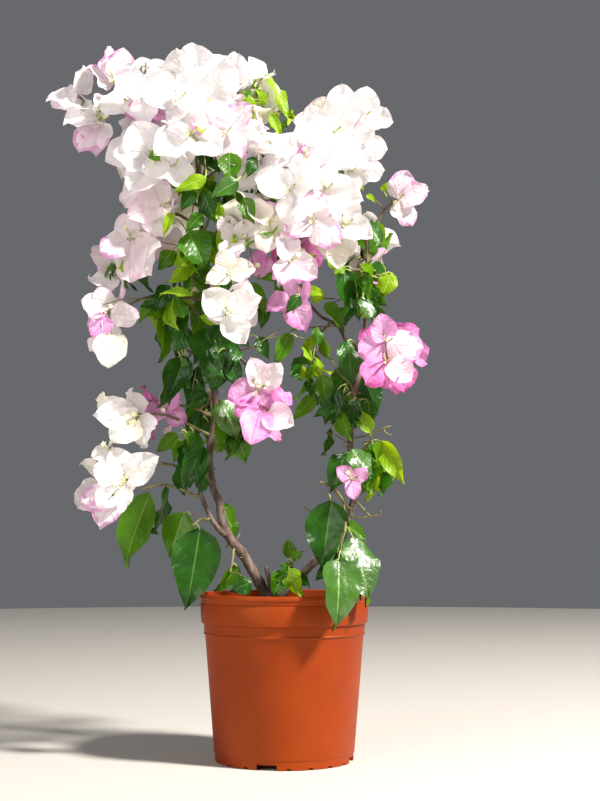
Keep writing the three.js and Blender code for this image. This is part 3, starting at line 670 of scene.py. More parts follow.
# The shoots: the bough that bears each and how far along it, the middle and the reach of its space, how many
# twigs and finer twigs fill it, what it bears and in which tint, and for some the length of a leaf, how
# steeply the leaves hang and how far the flowers nod.
# A leafy mass's tint is partly painted light: dark where its leaves stand in shade, bright where they stand
# in the sun.
MASSES = {
    "far_left_blossom": ("top_left_bough", 0.97, (-210, -20, 690), (52, 46, 46), 0, 2, "blossom", "blush"),
    "top_left_outer_blossom": (
        "top_left_bough", 0.82, (-160, -36, 722), (48, 46, 46), 4, 16, "blossom", "white"
    ),
    "top_left_blossom": ("left_bough_upper", 0.99, (-104, -44, 716), (52, 50, 54), 5, 26, "blossom", "white"),
    "left_back_blossom": ("left_bough_upper", 0.84, (-116, 50, 650), (60, 46, 88), 6, 22, "mixed", "white"),
    "top_centre_blossom": (
        "left_bough_upper", 0.93, (-46, -22, 702), (44, 44, 48), 4, 20, "blossom", "white"
    ),
    "top_young_spray": (
        "right_bough_upper", 0.94, (-6, -6, 690), (30, 28, 44), 1, 3, "leafy", "young", 24, 0
    ),
    "left_shoulder_blossom": (
        "top_left_bough", 0.4, (-146, -46, 636), (44, 42, 44), 3, 12, "blossom", "white"
    ),
    "upper_front_blossom": ("left_bough_upper", 0.86, (-86, -66, 650), (46, 42, 44), 4, 18, "mixed", "white"),
    "left_flank_blossom": (
        "left_bough_upper", 0.68, (-148, -28, 574), (48, 46, 46), 3, 4, "blossom", "blush"
    ),
    "centre_blossom": ("left_bough_upper", 0.9, (-24, -56, 626), (44, 44, 46), 4, 20, "blossom", "white"),
    "centre_back_blossom": ("right_bough_upper", 0.82, (-14, 48, 622), (52, 44, 52), 3, 16, "mixed", "blush"),
    "top_right_blossom": ("right_bough_upper", 0.99, (62, -30, 686), (46, 50, 52), 5, 22, "blossom", "white"),
    "top_right_back_blossom": (
        "right_bough_upper", 0.96, (64, 48, 664), (54, 48, 54), 4, 16, "mixed", "white"
    ),
    "right_front_blossom": (
        "right_bough_upper", 0.78, (44, -62, 600), (46, 42, 50), 4, 16, "blossom", "blush"
    ),
    "right_lone_flower": (
        "right_bough_upper", 0.62, (128, -10, 596), (30, 28, 34), 1, 0, "mixed", "blush", 30
    ),
    "centre_low_blossom": ("cross_bough", 0.92, (10, -46, 516), (38, 34, 58), 4, 8, "mixed", "pink"),
    "left_centre_blossom": ("left_bough_upper", 0.6, (-40, -64, 548), (42, 40, 44), 3, 10, "mixed", "blush"),
    "left_outer_blossom": ("left_bough_upper", 0.5, (-168, -26, 520), (46, 44, 46), 2, 3, "mixed", "blush"),
    "left_hanging_blossom": (
        "left_bough_upper", 0.32, (-186, -25, 452), (34, 34, 44), 1, 0, "blossom", "blush", 44, 0.5, 1
    ),
    "left_white_blossom": (
        "left_bough_middle", 0.6, (-168, -25, 356), (46, 42, 42), 0, 1, "blossom", "white"
    ),
    "left_pink_blossom": ("left_bough_middle", 0.72, (-128, 4, 368), (44, 40, 38), 0, 1, "blossom", "pink"),
    "left_low_blossom": (
        "left_bough_middle", 0.34, (-180, -30, 288), (46, 40, 42), 1, 1, "blossom", "white", 44, 0.5, 0.5
    ),
    "front_white_blossom": ("left_bough_upper", 0.25, (-52, -78, 480), (38, 36, 52), 3, 4, "mixed", "white"),
    "front_pink_blossom": (
        "left_bough_upper", 0.08, (-18, -50, 372), (44, 40, 50), 2, 3, "blossom", "magenta", 44, 0.5, 0.5
    ),
    "right_pink_blossom": (
        "right_bough_middle", 0.97, (110, -34, 420), (48, 42, 46), 1, 2, "blossom", "magenta"
    ),
    "right_low_blossom": ("right_bough_middle", 0.25, (68, -36, 290), (36, 34, 36), 0, 0, "blossom", "pink"),
    "left_foot_leaves": (
        "left_side_bough", 0.5, (-94, -42, 212), (48, 38, 66), 0, 0, "leafy", "dark", 82, 0.85
    ),
    "left_low_leaves": (
        "left_side_bough", 0.95, (-148, -24, 250), (44, 34, 66), 0, 0, "leafy", "bright", 84, 0.85
    ),
    "foot_shoot_leaves": (
        "right_bough_lower", 0.16, (8, -24, 202), (30, 30, 34), 1, 2, "leafy", "bright", 36, 0.1
    ),
    "stem_foot_leaves": (
        "left_bough_lower", 0.5, (-56, -28, 190), (30, 26, 30), 0, 0, "leafy", "dark", 32, 0.3
    ),
    "column_low_leaves": (
        "left_bough_middle", 0.28, (-98, -32, 322), (46, 40, 52), 3, 5, "leafy", "dark", 52, 0.8
    ),
    "column_inner_leaves": (
        "left_bough_middle", 0.5, (-52, -30, 352), (38, 36, 46), 2, 5, "leafy", "dark", 54, 0.7
    ),
    "column_back_leaves": (
        "left_bough_middle", 0.66, (-84, 48, 372), (42, 38, 52), 3, 5, "leafy", "dark", 66, 0.6
    ),
    "column_mid_leaves": (
        "left_bough_middle", 0.9, (-104, -34, 404), (44, 40, 52), 3, 7, "leafy", "dark", 54, 0.8
    ),
    "column_front_leaves": (
        "left_bough_upper", 0.14, (-66, -44, 428), (40, 40, 50), 3, 8, "leafy", "dark", 54, 0.7
    ),
    "column_outer_leaves": (
        "left_bough_upper", 0.22, (-124, -22, 466), (34, 36, 44), 3, 8, "leafy", "bright", 46, 0.6
    ),
    "column_high_leaves": (
        "left_bough_upper", 0.46, (-98, -44, 524), (44, 42, 54), 3, 8, "leafy", "bright", 52, 0.6
    ),
    "column_high_back": (
        "left_bough_upper", 0.36, (-80, 54, 490), (52, 44, 56), 3, 14, "mixed", "blush", 60, 0.5
    ),
    "crown_inner_leaves": (
        "left_bough_upper", 0.66, (-62, -30, 590), (42, 34, 42), 3, 8, "leafy", "bright", 46, 0.3
    ),
    "cross_leaves": ("cross_bough", 0.4, (26, -14, 406), (38, 30, 46), 2, 2, "leafy", "bright", 36, 0.6),
    "right_foot_leaves": (
        "right_bough_lower", 0.86, (62, -66, 204), (54, 50, 68), 0, 0, "leafy", "dark", 76, 0.85
    ),
    "right_foot_inner": (
        "right_bough_lower", 0.97, (36, -30, 262), (40, 38, 56), 0, 0, "leafy", "dark", 66, 0.85
    ),
    "right_low_leaves": (
        "right_bough_middle", 0.2, (92, 2, 316), (46, 42, 50), 3, 3, "leafy", "bright", 50, 0.6
    ),
    "right_mid_leaves": (
        "right_bough_middle", 0.62, (64, -24, 372), (42, 36, 50), 2, 1, "leafy", "dark", 50, 0.7
    ),
    "right_back_leaves": (
        "right_bough_middle", 0.8, (84, 50, 404), (42, 38, 56), 3, 4, "leafy", "dark", 60, 0.5
    ),
    "right_high_leaves": (
        "right_bough_upper", 0.28, (88, -22, 494), (40, 36, 50), 3, 7, "leafy", "dark", 44, 0.5
    ),
    "right_high_back": (
        "right_bough_upper", 0.45, (86, 52, 540), (48, 42, 58), 3, 12, "mixed", "blush", 56, 0.4
    ),
}

# Leaves that show from the front: the foot of the blade, its tip, its turn toward the sun, breadth and tint.
# A shown leaf's tint follows how light or dark it looks, so it is partly painted shade and painted sunlight
# besides its own green.
SHOWN_LEAVES = [
    ((-87, -38, 240), (-97, -52, 159), 15, 1, "dark"),
    ((-105, -18, 257), (-120, -28, 212), 0, 1.15, "mid"),
    ((-122, -22, 284), (-128, -20, 233), 70, 0.9, "dark"),
    ((-141, -18, 277), (-172, -20, 202), -24, 0.8, "mid"),
    ((-66, 8, 266), (-50, 12, 224), 60, 0.9, "mid"),
    ((-33, -40, 185), (-54, -48, 177), 20, 1.3, "dark"),
    ((-48, -22, 201), (-69, -28, 173), 60, 0.8, "mid"),
    ((-1, -30, 197), (-10, -38, 171), 10, 1.2, "mid"),
    ((4, -34, 199), (15, -44, 171), -20, 1.1, "young"),
    ((-85, -38, 325), (-102, -44, 283), 10, 0.95, "dark"),
    ((-104, -20, 333), (-116, -26, 310), 0, 1.1, "mid"),
    ((-113, -12, 340), (-135, -14, 320), 30, 0.9, "mid"),
    ((-109, -22, 303), (-105, -28, 275), 0, 1.1, "dark"),
    ((-83, -24, 293), (-88, -28, 275), 40, 1, "dark"),
    ((-65, -42, 373), (-47, -52, 334), 16, 1.2, "waxy"),
    ((-55, -32, 369), (-37, -44, 339), 40, 0.9, "dark"),
    ((-119, -38, 404), (-124, -44, 365), 50, 0.9, "dark"),
    ((-106, -30, 397), (-117, -34, 382), 0, 1, "mid"),
    ((-85, -24, 387), (-103, -30, 363), 20, 1, "dark"),
    ((-84, -52, 448), (-59, -66, 396), 15, 1.4, "dark"),
    ((-103, -32, 453), (-114, -38, 420), 0, 1.05, "dark"),
    ((-130, -16, 462), (-124, -20, 417), 50, 0.85, "mid"),
    ((-103, -36, 419), (-122, -46, 372), -10, 0.95, "dark"),
    ((-89, -28, 400), (-101, -36, 371), 10, 1.1, "dark"),
    ((-68, -62, 453), (-87, -66, 457), 0, 1.1, "young"),
    ((-123, -30, 496), (-134, -36, 469), 20, 1.1, "dark"),
    ((-105, -42, 459), (-113, -44, 483), 10, 1, "mid"),
    ((-115, -30, 531), (-133, -36, 513), 0, 1.1, "dark"),
    ((-99, -66, 545), (-80, -74, 508), 10, 1.4, "mid"),
    ((-117, -50, 529), (-129, -56, 509), 0, 1.2, "mid"),
    ((-56, -88, 622), (-54, -94, 592), 10, 1.3, "mid"),
    ((-47, -90, 593), (-73, -96, 576), 25, 1, "waxy"),
    ((-79, -88, 597), (-111, -94, 583), 10, 0.7, "young"),
    ((-92, -80, 585), (-105, -86, 564), 0, 1, "dark"),
    ((-116, -74, 564), (-123, -80, 539), 10, 0.6, "young"),
    ((-83, -80, 561), (-100, -86, 543), 0, 1, "mid"),
    ((-83, -78, 586), (-72, -84, 551), -20, 0.9, "dark"),
    ((-42, -84, 576), (-31, -90, 550), 0, 1, "mid"),
    ((-29, -86, 619), (-36, -92, 597), 30, 0.9, "dark"),
    ((-72, -76, 573), (-63, -82, 552), 0, 1, "young"),
    ((-95, -55, 480), (-127, -62, 485), 40, 0.5, "young"),
    ((-6, -56, 502), (-28, -60, 500), 20, 0.95, "mid"),
    ((-39, -52, 493), (-15, -60, 463), 30, 0.9, "mid"),
    ((16, -76, 477), (3, -80, 459), 20, 1, "dark"),
    ((27, -30, 460), (7, -36, 448), 30, 0.9, "mid"),
    ((5, -20, 446), (-9, -26, 412), 20, 0.8, "mid"),
    ((-28, -22, 441), (-17, -28, 419), 0, 1, "dark"),
    ((66, -36, 437), (72, -44, 390), 15, 0.95, "dark"),
    ((40, -22, 401), (44, -28, 368), 0, 1, "mid"),
    ((32, -12, 380), (10, -18, 355), 20, 0.8, "mid"),
    ((60, -22, 374), (32, -30, 358), 30, 0.8, "dark"),
    ((89, -6, 376), (92, -10, 350), 20, 1.1, "dark"),
    ((90, -26, 340), (81, -30, 363), 0, 1, "young"),
    ((70, -36, 322), (89, -50, 298), 20, 1.3, "waxy"),
    ((103, -2, 333), (125, -8, 287), -10, 0.7, "young"),
    ((65, -20, 319), (49, -30, 280), 0, 1.1, "dark"),
    ((50, -8, 346), (46, -12, 317), 60, 0.8, "dark"),
    ((49, -34, 268), (38, -50, 200), -10, 1.05, "dark"),
    ((55, -80, 210), (56, -110, 147), 22, 1, "waxy"),
    ((70, -50, 232), (90, -76, 170), 24, 0.95, "waxy"),
    ((54, -50, 215), (79, -66, 172), 10, 0.8, "dark"),
    ((62, -30, 245), (86, -36, 230), 30, 0.9, "mid"),
    ((48, -14, 201), (33, -20, 187), 0, 1, "dark"),
    ((62, -26, 513), (72, -34, 456), 40, 0.9, "dark"),
    ((87, -24, 563), (105, -30, 541), 24, 1.1, "waxy"),
    ((82, -32, 484), (96, -40, 460), 24, 1.2, "waxy"),
    ((88, -18, 596), (97, -22, 588), 20, 1, "young"),
    ((104, -18, 600), (110, -22, 608), 20, 1.1, "young"),
    ((115, -6, 514), (104, -12, 487), 0, 1.2, "young"),
    ((91, -16, 563), (106, -22, 543), 0, 1.4, "young"),
    ((43, -24, 477), (65, -28, 450), 20, 0.8, "mid"),
    ((35, -26, 452), (36, -30, 431), 10, 1, "mid"),
    ((23, -26, 492), (44, -30, 486), 20, 0.9, "young"),
    ((29, -22, 481), (43, -26, 486), 0, 1.1, "young"),
    ((63, -30, 516), (53, -34, 507), 10, 1.2, "young"),
    ((-21, -50, 471), (-23, -54, 447), 10, 1, "dark"),
    ((98, -22, 420), (88, -26, 408), 0, 1, "young"),
    ((84, -28, 461), (94, -32, 481), 0, 1.2, "young"),
    ((-62, -78, 618), (-49, -84, 599), 0, 1.2, "mid"),
    ((-39, -68, 622), (-28, -74, 607), 0, 1, "mid"),
    ((-64, -76, 595), (-49, -86, 582), 30, 1.2, "dark"),
    ((-129, -60, 563), (-121, -64, 549), 20, 0.7, "mid"),
    ((-137, -84, 624), (-127, -88, 615), 0, 1.4, "mid"),
    ((-18, -24, 727), (10, -32, 676), 30, 0.4, "young"),
    ((-15, -26, 682), (-3, -34, 655), 10, 0.62, "young"),
    ((-31, -34, 695), (-47, -38, 685), 0, 1.1, "young"),
    ((-29, -28, 692), (-18, -32, 704), 0, 1.2, "young"),
    ((-33, -34, 682), (-48, -38, 667), 0, 0.9, "young"),
]

# Flowers that show: the heart, the way each bract points, the length, the tint and a twist of its face.
SHOWN_FLOWERS = [
    ((-206, -30, 685), (163,), 47, "white", 48),
    ((-194, -34, 672), (172, 185), 38, "white", 35),
    ((-196, -36, 670), (236, 262), 38, "edged"),
    ((-223, -26, 704), (66,), 27, "white", 50),
    ((-186, -28, 708), (128,), 30, "edged", 45),
    ((-186, -34, 678), (60, 120), 24, "white", 30),
    ((-181, -32, 716), (93, 70), 36, "edged", 40),
    ((-102, -24, 724), (83,), 37, "white"),
    ((-86, -20, 721), (93,), 33, "white", 30),
    ((-60, -28, 713), (76,), 35, "white", 35),
    ((-29, -22, 713), (101,), 34, "white", 25),
    ((-120, -40, 702), (84,), 34, "white"),
    ((62, -34, 675), (93,), 33, "white"),
    ((87, -36, 671), (77,), 31, "white", 50),
    ((-165, -50, 690), (200, 80, 320), 34, "white"),
    ((-145, -62, 691), (30, 150, 270), 38, "white"),
    ((-142, -50, 681), (250, 200, 330), 26, "pink"),
    ((-146, -42, 703), (98, 30, 190), 32, "white"),
    ((-110, -58, 702), (95, 205, 335), 38, "white"),
    ((-86, -54, 706), (102, 50, 240), 38, "white"),
    ((-52, -40, 704), (85, 140, 200), 34, "white"),
    ((-30, -22, 711), (150, 345), 26, "white"),
    ((-108, -78, 681), (40, 160, 280), 42, "white"),
    ((-75, -76, 682), (70, 190, 310), 42, "white"),
    ((-48, -66, 642), (35, 150, 265), 32, "white"),
    ((-133, -66, 618), (170, 120, 232), 46, "white"),
    ((-113, -76, 613), (60, 300, 190), 34, "white"),
    ((-96, -86, 642), (90, 210, 330), 40, "white"),
    ((-60, -80, 646), (45, 165, 285), 36, "edged"),
    ((-128, -60, 574), (200, 255, 110), 34, "blush"),
    ((-128, -20, 555), (240, 300, 180), 34, "blush"),
    ((-145, -50, 610), (237,), 42, "blush", 20),
    ((-142, -40, 583), (262,), 30, "blush"),
    ((-133, -48, 577), (278,), 34, "cream", 30),
    ((-162, -46, 541), (102,), 25, "blush"),
    ((-162, -48, 541), (207,), 32, "edged"),
    ((-160, -46, 543), (266, 292), 46, "blush", 30),
    ((-184, -40, 468), (160, 115), 27, "blush"),
    ((-182, -42, 465), (345,), 32, "blush", 30),
    ((-183, -38, 460), (228,), 26, "pink"),
    ((-180, -42, 442), (268,), 34, "cream"),
    ((-153, -40, 352), (170,), 40, "white"),
    ((-153, -40, 353), (345,), 20, "white"),
    ((-152, -44, 351), (218,), 34, "cream"),
    ((-126, -4, 368), (205, 60, 320), 28, "pink"),
    ((-162, -42, 290), (112, 38), 40, "white"),
    ((-180, -42, 318), (190, 330), 20, "white"),
    ((-164, -50, 287), (222, 150), 38, "white"),
    ((-172, -42, 278), (198, 244), 38, "edged"),
    ((-55, -84, 498), (110, 10, 200), 27, "cream"),
    ((-55, -92, 456), (140, 25, 297), 37, "white"),
    ((-48, -72, 536), (130, 30, 250), 30, "blush"),
    ((-15, -78, 553), (140, 340, 265), 32, "cream"),
    ((8, -76, 514), (110, 250, 322), 30, "edged"),
    ((-32, -50, 508), (10, 170, 60), 24, "pink"),
    ((9, -62, 475), (60, 200, 290), 32, "pink"),
    ((121, -14, 591), (72, 15, 300), 32, "edged"),
    ((49, -68, 648), (60, 180, 300), 42, "white"),
    ((62, -54, 667), (95, 45, 190), 32, "white"),
    ((82, -40, 673), (350, 80, 250), 30, "white"),
    ((76, -46, 642), (350, 300, 60), 30, "white"),
    ((69, -44, 614), (0, 250, 120), 34, "white"),
    ((24, -76, 620), (150, 30, 270), 40, "white"),
    ((37, -48, 660), (120, 165, 235), 28, "white"),
    ((42, -78, 586), (100, 220, 340), 38, "white"),
    ((6, -86, 584), (160, 40, 280), 38, "white"),
    ((29, -80, 552), (200, 320, 80), 34, "edged"),
    ((63, -60, 554), (330, 210, 90), 34, "white"),
    ((54, -56, 533), (190, 340, 275), 24, "cream"),
    ((105, -50, 432), (202, 100), 31, "pink"),
    ((105, -54, 430), (355,), 38, "edged"),
    ((105, -58, 412), (228, 275), 33, "magenta"),
    ((108, -60, 411), (318,), 28, "blush"),
    ((70, -44, 290), (140, 30, 275), 19, "pink"),
    ((-26, -66, 381), (195, 335), 30, "pink"),
    ((-22, -68, 384), (50, 110), 30, "blush"),
    ((-24, -74, 360), (256,), 37, "pink"),
    ((-24, -72, 362), (190,), 24, "magenta"),
    ((-18, -72, 357), (335,), 32, "blush"),
]

# Openings that show between the blossoms: across, up and the radius that stays clear along the line of
# sight, as far in front of the stems and behind them as the depth below says.
SHOWN_GAPS = [
    (-207, 720, 8),
    (-184, 671, 9),
    (-187, 589, 8),
    (-176, 570, 7),
    (-31, 622, 6),
    (2, 555, 7),
    (-32, 533, 8),
    (44, 509, 12),
    (65, 496, 8),
    (-151, 447, 10),
    (-10, 750, 9),
    (8, 719, 9),
    (5, 705, 7),
    (29, 710, 8),
    (44, 723, 7),
    (83, 716, 6),
    (115, 698, 8),
    (84, 635, 7),
    (-172, 757, 7),
    (-137, 762, 9),
    (-122, 764, 7),
    (-74, 751, 6),
    (-46, 750, 6),
]
GAP_DEPTH = 120

# Dry twigs that bear nothing any more: the radius and the path.
DRY_TWIGS = [
    (0.7, [(83, 6, 484), (64, -6, 485), (32, -20, 483)]),
    (0.8, [(65, 0, 452), (54, -8, 455), (32, -16, 453), (11, -22, 450)]),
    (0.8, [(-63, -14, 425), (-35, -26, 430), (-19, -30, 439), (-6, -32, 446)]),
    (0.6, [(-19, -30, 439), (-4, -33, 441)]),
    (0.6, [(-162, -48, 542), (-138, -50, 539), (-109, -44, 535), (-90, -20, 536)]),
    (0.6, [(-190, -44, 472), (-167, -42, 479), (-139, -34, 480), (-92, -6, 486)]),
    (0.9, [(73, 7, 387), (70, 0, 394), (58, -8, 405), (49, -12, 419), (24, -14, 434)]),
    (0.9, [(72, 7, 338), (71, -4, 348), (63, -12, 353), (61, -16, 358)]),
    (0.7, [(63, -12, 353), (54, -16, 349), (46, -18, 351)]),
    (0.6, [(54, -16, 349), (60, -20, 337)]),
    (0.6, [(54, -16, 350), (55, -18, 359)]),
    (0.8, [(71, 7, 328), (57, -8, 337), (48, -12, 340), (43, -14, 340)]),
    (0.6, [(48, -12, 340), (53, -16, 332)]),
    (1, [(70, 7, 336), (89, -4, 339), (105, -10, 346), (113, -12, 348)]),
    (0.7, [(105, -10, 346), (107, -12, 341), (114, -14, 338)]),
    (0.8, [(72, 6, 267), (72, -4, 252), (92, -10, 253), (101, -12, 255), (101, -13, 259)]),
    (1.1, [(73, 6, 272), (82, -6, 262), (91, -10, 252)]),
    (0.8, [(64, 4, 238), (27, -8, 258), (19, -10, 267)]),
]

# Radii from foot to tip, the lengths that shoots are drawn with, and how many kinds of blade are modelled.
GOLDEN_TURN = 2.39996
STEM_RADII = (1.9, 1.3)
TWIG_RADII = (1.1, 0.8)
FINE_RADII = (0.8, 0.6)
STEM_STEP = 24
SHORTEST_TWIG = 8
BRACT_LENGTH = 40
STALK_SHARE = 0.16
OFF_MIDDLE = 0.6
LEAF_KINDS = 3
BRACT_KINDS = 5

# A blade's breadth and curl, as shares of its length.
LEAF_BUILD = {"width": 0.62, "curl": 0.16}
BRACT_BUILD = {"width": 0.9, "curl": 0.1}

# Places on a blade that have to be free: how far along it, and how far out toward its edge.
SPREAD = [(0.3, 0), (0.44, 0.6), (0.44, -0.6), (0.6, 0), (0.74, 0.32), (0.74, -0.32), (0.98, 0)]

# Millimetres left free round a blade, for the first ones of a space and for those that fill it.
FIRST_GAPS = {"limb": 3, "other": 3.5, "own": 2.5}
FINE_GAPS = {"limb": 2, "other": 1.6, "own": 1}
NEARBY = 70

# Who holds a place: a limb, or a line of sight that stays open. A mass's places bear its own number.
LIMB_OWNER = 0
OPEN_OWNER = 1000
MOST_SPOTS = 80000
VIEW_STEPS = 6
VIEW_STEP = 9

# How far a blade may leave its space, and how high the crown is left and right of the open gap. Seen from
# the camera, what stands further back may be higher.
EDGE = 1.04
GAP_MIDDLE = 10
LEFT_TOP = 745
RIGHT_TOP = 706
TOP_SLOPE = 0.36

spot_place = np.zeros((MOST_SPOTS, 3))
spot_radius = np.zeros(MOST_SPOTS)
spot_owner = np.zeros(MOST_SPOTS, dtype=np.int32)
spots = 0


def add_spots(points, radius, owner):
    """Marks places as taken by a limb, by a mass's blades (its number) or twigs (minus that), or as open."""
    global spots
    spot_place[spots:spots + len(points)] = [tuple(point) for point in points]
    spot_radius[spots:spots + len(points)] = radius
    spot_owner[spots:spots + len(points)] = owner
    spots += len(points)


def square_to(way, along):
    """The way turned square to another, one unit long."""
    return (way - along * way.dot(along)).normalized()


def turned(way, axis, angle):
    """A way that is square to an axis, turned round that axis."""
    return way * math.cos(angle) + axis.cross(way) * math.sin(angle)


def arched(root, end, rise, middle=0.55):
    """Three points of a twig that bows up by a share of its length on its way."""
    return [root, root.lerp(end, middle) + UP * rise * (end - root).length, end]


def lay_out(number, name, bough, share, centre, reach, twigs, fine, bears, tint, leaf=44, hang=0.5, nod=0):
    """A mass's space and its stem, whose places are then taken. It ends higher where the blades hang."""
    centre, reach = Vector(centre), Vector(reach)
    foot, out = foot_on(limbs[bough], share, centre)
    raised = 0.55 * hang if bears == "leafy" else 0.3 * nod
    stem = path_from(foot, out, arched(foot, centre + UP * raised * reach.z, 0.12)[1:], STEM_STEP)
    outward = ((centre - foot) * Vector((1, 1, 0))).normalized()
    facing = (outward + Vector((0, 1.2 if centre.y > 0 else -1.2, 0))).normalized()
    add_spots(smooth_path(stem[1:], 14), STEM_RADII[0], -number)
    return {
        "name": name, "number": number, "centre": centre, "reach": reach, "stem": stem, "facing": facing,
        "twigs": twigs, "fine": fine, "bears": bears, "tint": tint, "leaf": leaf, "hang": hang, "nod": nod,
    }


add_spots([TRUNK_FOOT, TRUNK_FORK], TRUNK_SPACE, LIMB_OWNER)
for limb in limbs.values():
    add_spots(limb["path"], limb["radii"][0], LIMB_OWNER)
masses = [lay_out(number, name, *given) for number, (name, given) in enumerate(MASSES.items(), 1)]


def has_room(points, mass, radius, gaps):
    """Whether points are inside a mass's space, off the limbs and apart from all that is placed."""
    places = np.array([tuple(point) for point in points])
    inside = np.linalg.norm((places - mass["centre"]) / mass["reach"], axis=1)
    top = np.where(places[:, 0] > GAP_MIDDLE, RIGHT_TOP, LEFT_TOP)
    if inside.max() > EDGE or (places[:, 2] - TOP_SLOPE * places[:, 1] > top).any():
        return False
    close = np.abs(spot_place[:spots] - places.mean(axis=0)).max(axis=1) < NEARBY
    owner = spot_owner[:spots][close]
    near = np.linalg.norm(places[:, None, :] - spot_place[:spots][close][None, :, :], axis=2)
    gap = np.where(owner == LIMB_OWNER, gaps["limb"], gaps["other"])
    gap = np.where(owner == mass["number"], gaps["own"], gap)
    short = near < gap + radius + spot_radius[:spots][close]
    ignored = owner == -mass["number"]
    if gaps["own"] == 0:
        ignored |= owner == mass["number"]
    return not (short & ~ignored[None, :]).any()


def blade_spots(blade):
    """Places spread over a blade, for the test of its room."""
    side = blade["along"].cross(blade["face"])
    half = blade["length"] * blade["width"] * blade["broad"] / 2
    places = []
    for share, across in SPREAD:
        rib = blade["root"] + blade["along"] * blade["length"] * share
        drop = blade["length"] * blade["curl"] * share * share
        places.append(rib + side * half * across - blade["face"] * drop)
    return places


leaves, bracts, flowers, petioles, shoots = [], [], [], [], []


def sides_at(shoot, bearer):
    """The three sides of a shoot at one of its points: where each lies and which way it looks."""
    path = shoot["path"]
    axis = (path[min(bearer + 1, len(path) - 1)] - path[bearer - 1]).normalized()
    steady = Vector((0, 1, 0)) if abs(axis.y) < 0.7 else Vector((1, 0, 0))
    side = steady.cross(axis).normalized()
    found = []
    for k in range(3):
        around = turned(side, axis, shoot["roll"] + 2 * math.pi * (k + 0.5) / 3)
        found.append((path[bearer] + around * OFF_MIDDLE, axis, around))
    return found


# Tints of the blades in a mass, each with the draw up to which it is dealt.
TINTS = {
    "white": [("white", 0.78), ("cream", 0.9), ("blush", 1)],
    "blush": [("white", 0.45), ("cream", 0.55), ("blush", 0.85), ("edged", 0.95), ("pink", 1)],
    "pink": [("blush", 0.4), ("pink", 0.85), ("magenta", 1)],
    "magenta": [("blush", 0.06), ("pink", 0.5), ("magenta", 1)],
    # Leaf tints are partly painted light: dark deals more dark-green leaves to masses in shade, as painted
    # shade besides the grown leaves' own deep green, and bright deals more mid and young green to masses in
    # the sun, as painted sunlight besides real young growth.
    "dark": [("dark", 0.72), ("mid", 1)],
    "bright": [("dark", 0.3), ("mid", 0.75), ("young", 1)],
    "young": [("mid", 0.25), ("young", 1)],
}


def dealt_tint(tint, draw):
    """The tint of one blade in a mass, dealt out by a draw from 0 to 1."""
    return next(name for name, up_to in TINTS[tint] if draw <= up_to)


def one_of(count, chance):
    """A whole number from 0 to one under the count."""
    return int(chance() * (count - 0.001))


def depth_in(mass, place):
    """How far out in a mass's space a place lies: 0 in its middle, 1 at its edge."""
    return Vector((place - mass["centre"])[i] / mass["reach"][i] for i in range(3)).length


def holder_of(place, *kinds):
    """The mass of one of some kinds that a place lies deepest in."""
    return min((mass for mass in masses if mass["bears"] in kinds), key=lambda mass: depth_in(mass, place))


def set_in_view(blade, mass):
    """Takes a shown blade's place and leaves the space in front of it open as far as its mass reaches."""
    places = blade_spots(blade)
    add_spots(places, 0, mass["number"])
    for step in range(1, VIEW_STEPS + 1):
        nearer = Vector((0, VIEW_STEP * step, 0))
        add_spots([place - nearer for place in places], 0.1 * blade["length"], OPEN_OWNER)


def carry(mass, place, short):
    """A fine twig from the nearest point of a mass's stem toward a place, ending short of it."""
    root = min(smooth_path(mass["stem"], 12)[2:], key=lambda point: (point - place).length)
    way = (place - root).length
    if way < 2 * short:
        return root
    end = place.lerp(root, short / way)
    path = [root, root.lerp(end, 0.55) + UP * 0.08 * way, end]
    shoots.append({"path": path, "radii": FINE_RADII})
    add_spots(path, FINE_RADII[0], -mass["number"])
    return end


def add_shown_leaf(base, tip, turn, broad, tint):
    """A leaf that stands where it shows, turned by some degrees from the front toward the sun."""
    base, tip = Vector(base), Vector(tip)
    mass = holder_of(base, "leafy", "mixed", "blossom")
    along = (tip - base).normalized()
    angle = math.radians(turn)
    lit = Vector((math.sin(angle), -math.cos(angle), 0.6 * math.sin(angle)))
    blade = {
        **LEAF_BUILD, "root": base, "along": along, "face": square_to(lit, along), "broad": broad,
        "length": (tip - base).length, "tint": tint, "variant": len(leaves) % LEAF_KINDS,
    }
    set_in_view(blade, mass)
    leaves.append(blade)
    start = carry(mass, base, 9)
    petioles.append([start, (start + base) / 2 + UP * 1.5, base + along * 1.5])


def add_shown_flower(chance, heart, clock, length, tint, turn=0):
    """A flower that faces the front, its bracts laid out at given angles from the right and then turned."""
    heart = Vector(heart)
    mass = holder_of(heart, "mixed", "blossom")
    carry(mass, heart, 1)
    for degrees in clock:
        angle = math.radians(degrees)
        lean = 0.22 + 0.3 * chance()
        along = Vector((math.cos(angle), -lean, math.sin(angle))).normalized()
        look = square_to(Vector((0.25 - 0.5 * chance(), -1, 0.3 - 0.3 * chance())), along)
        blade = {
            **BRACT_BUILD, "root": heart + along, "along": along,
            "face": turned(look, along, math.radians(turn)), "broad": 0.9 + 0.2 * chance(),
            "length": length * (0.9 + 0.2 * chance()), "tint": tint, "variant": one_of(BRACT_KINDS, chance),
        }
        set_in_view(blade, mass)
        bracts.append(blade)
    if len(clock) > 1:
        front = Vector((0, -1, 0.1)).normalized()
        flowers.append({"root": heart, "axis": front, "around": UP, "draw": chance()})


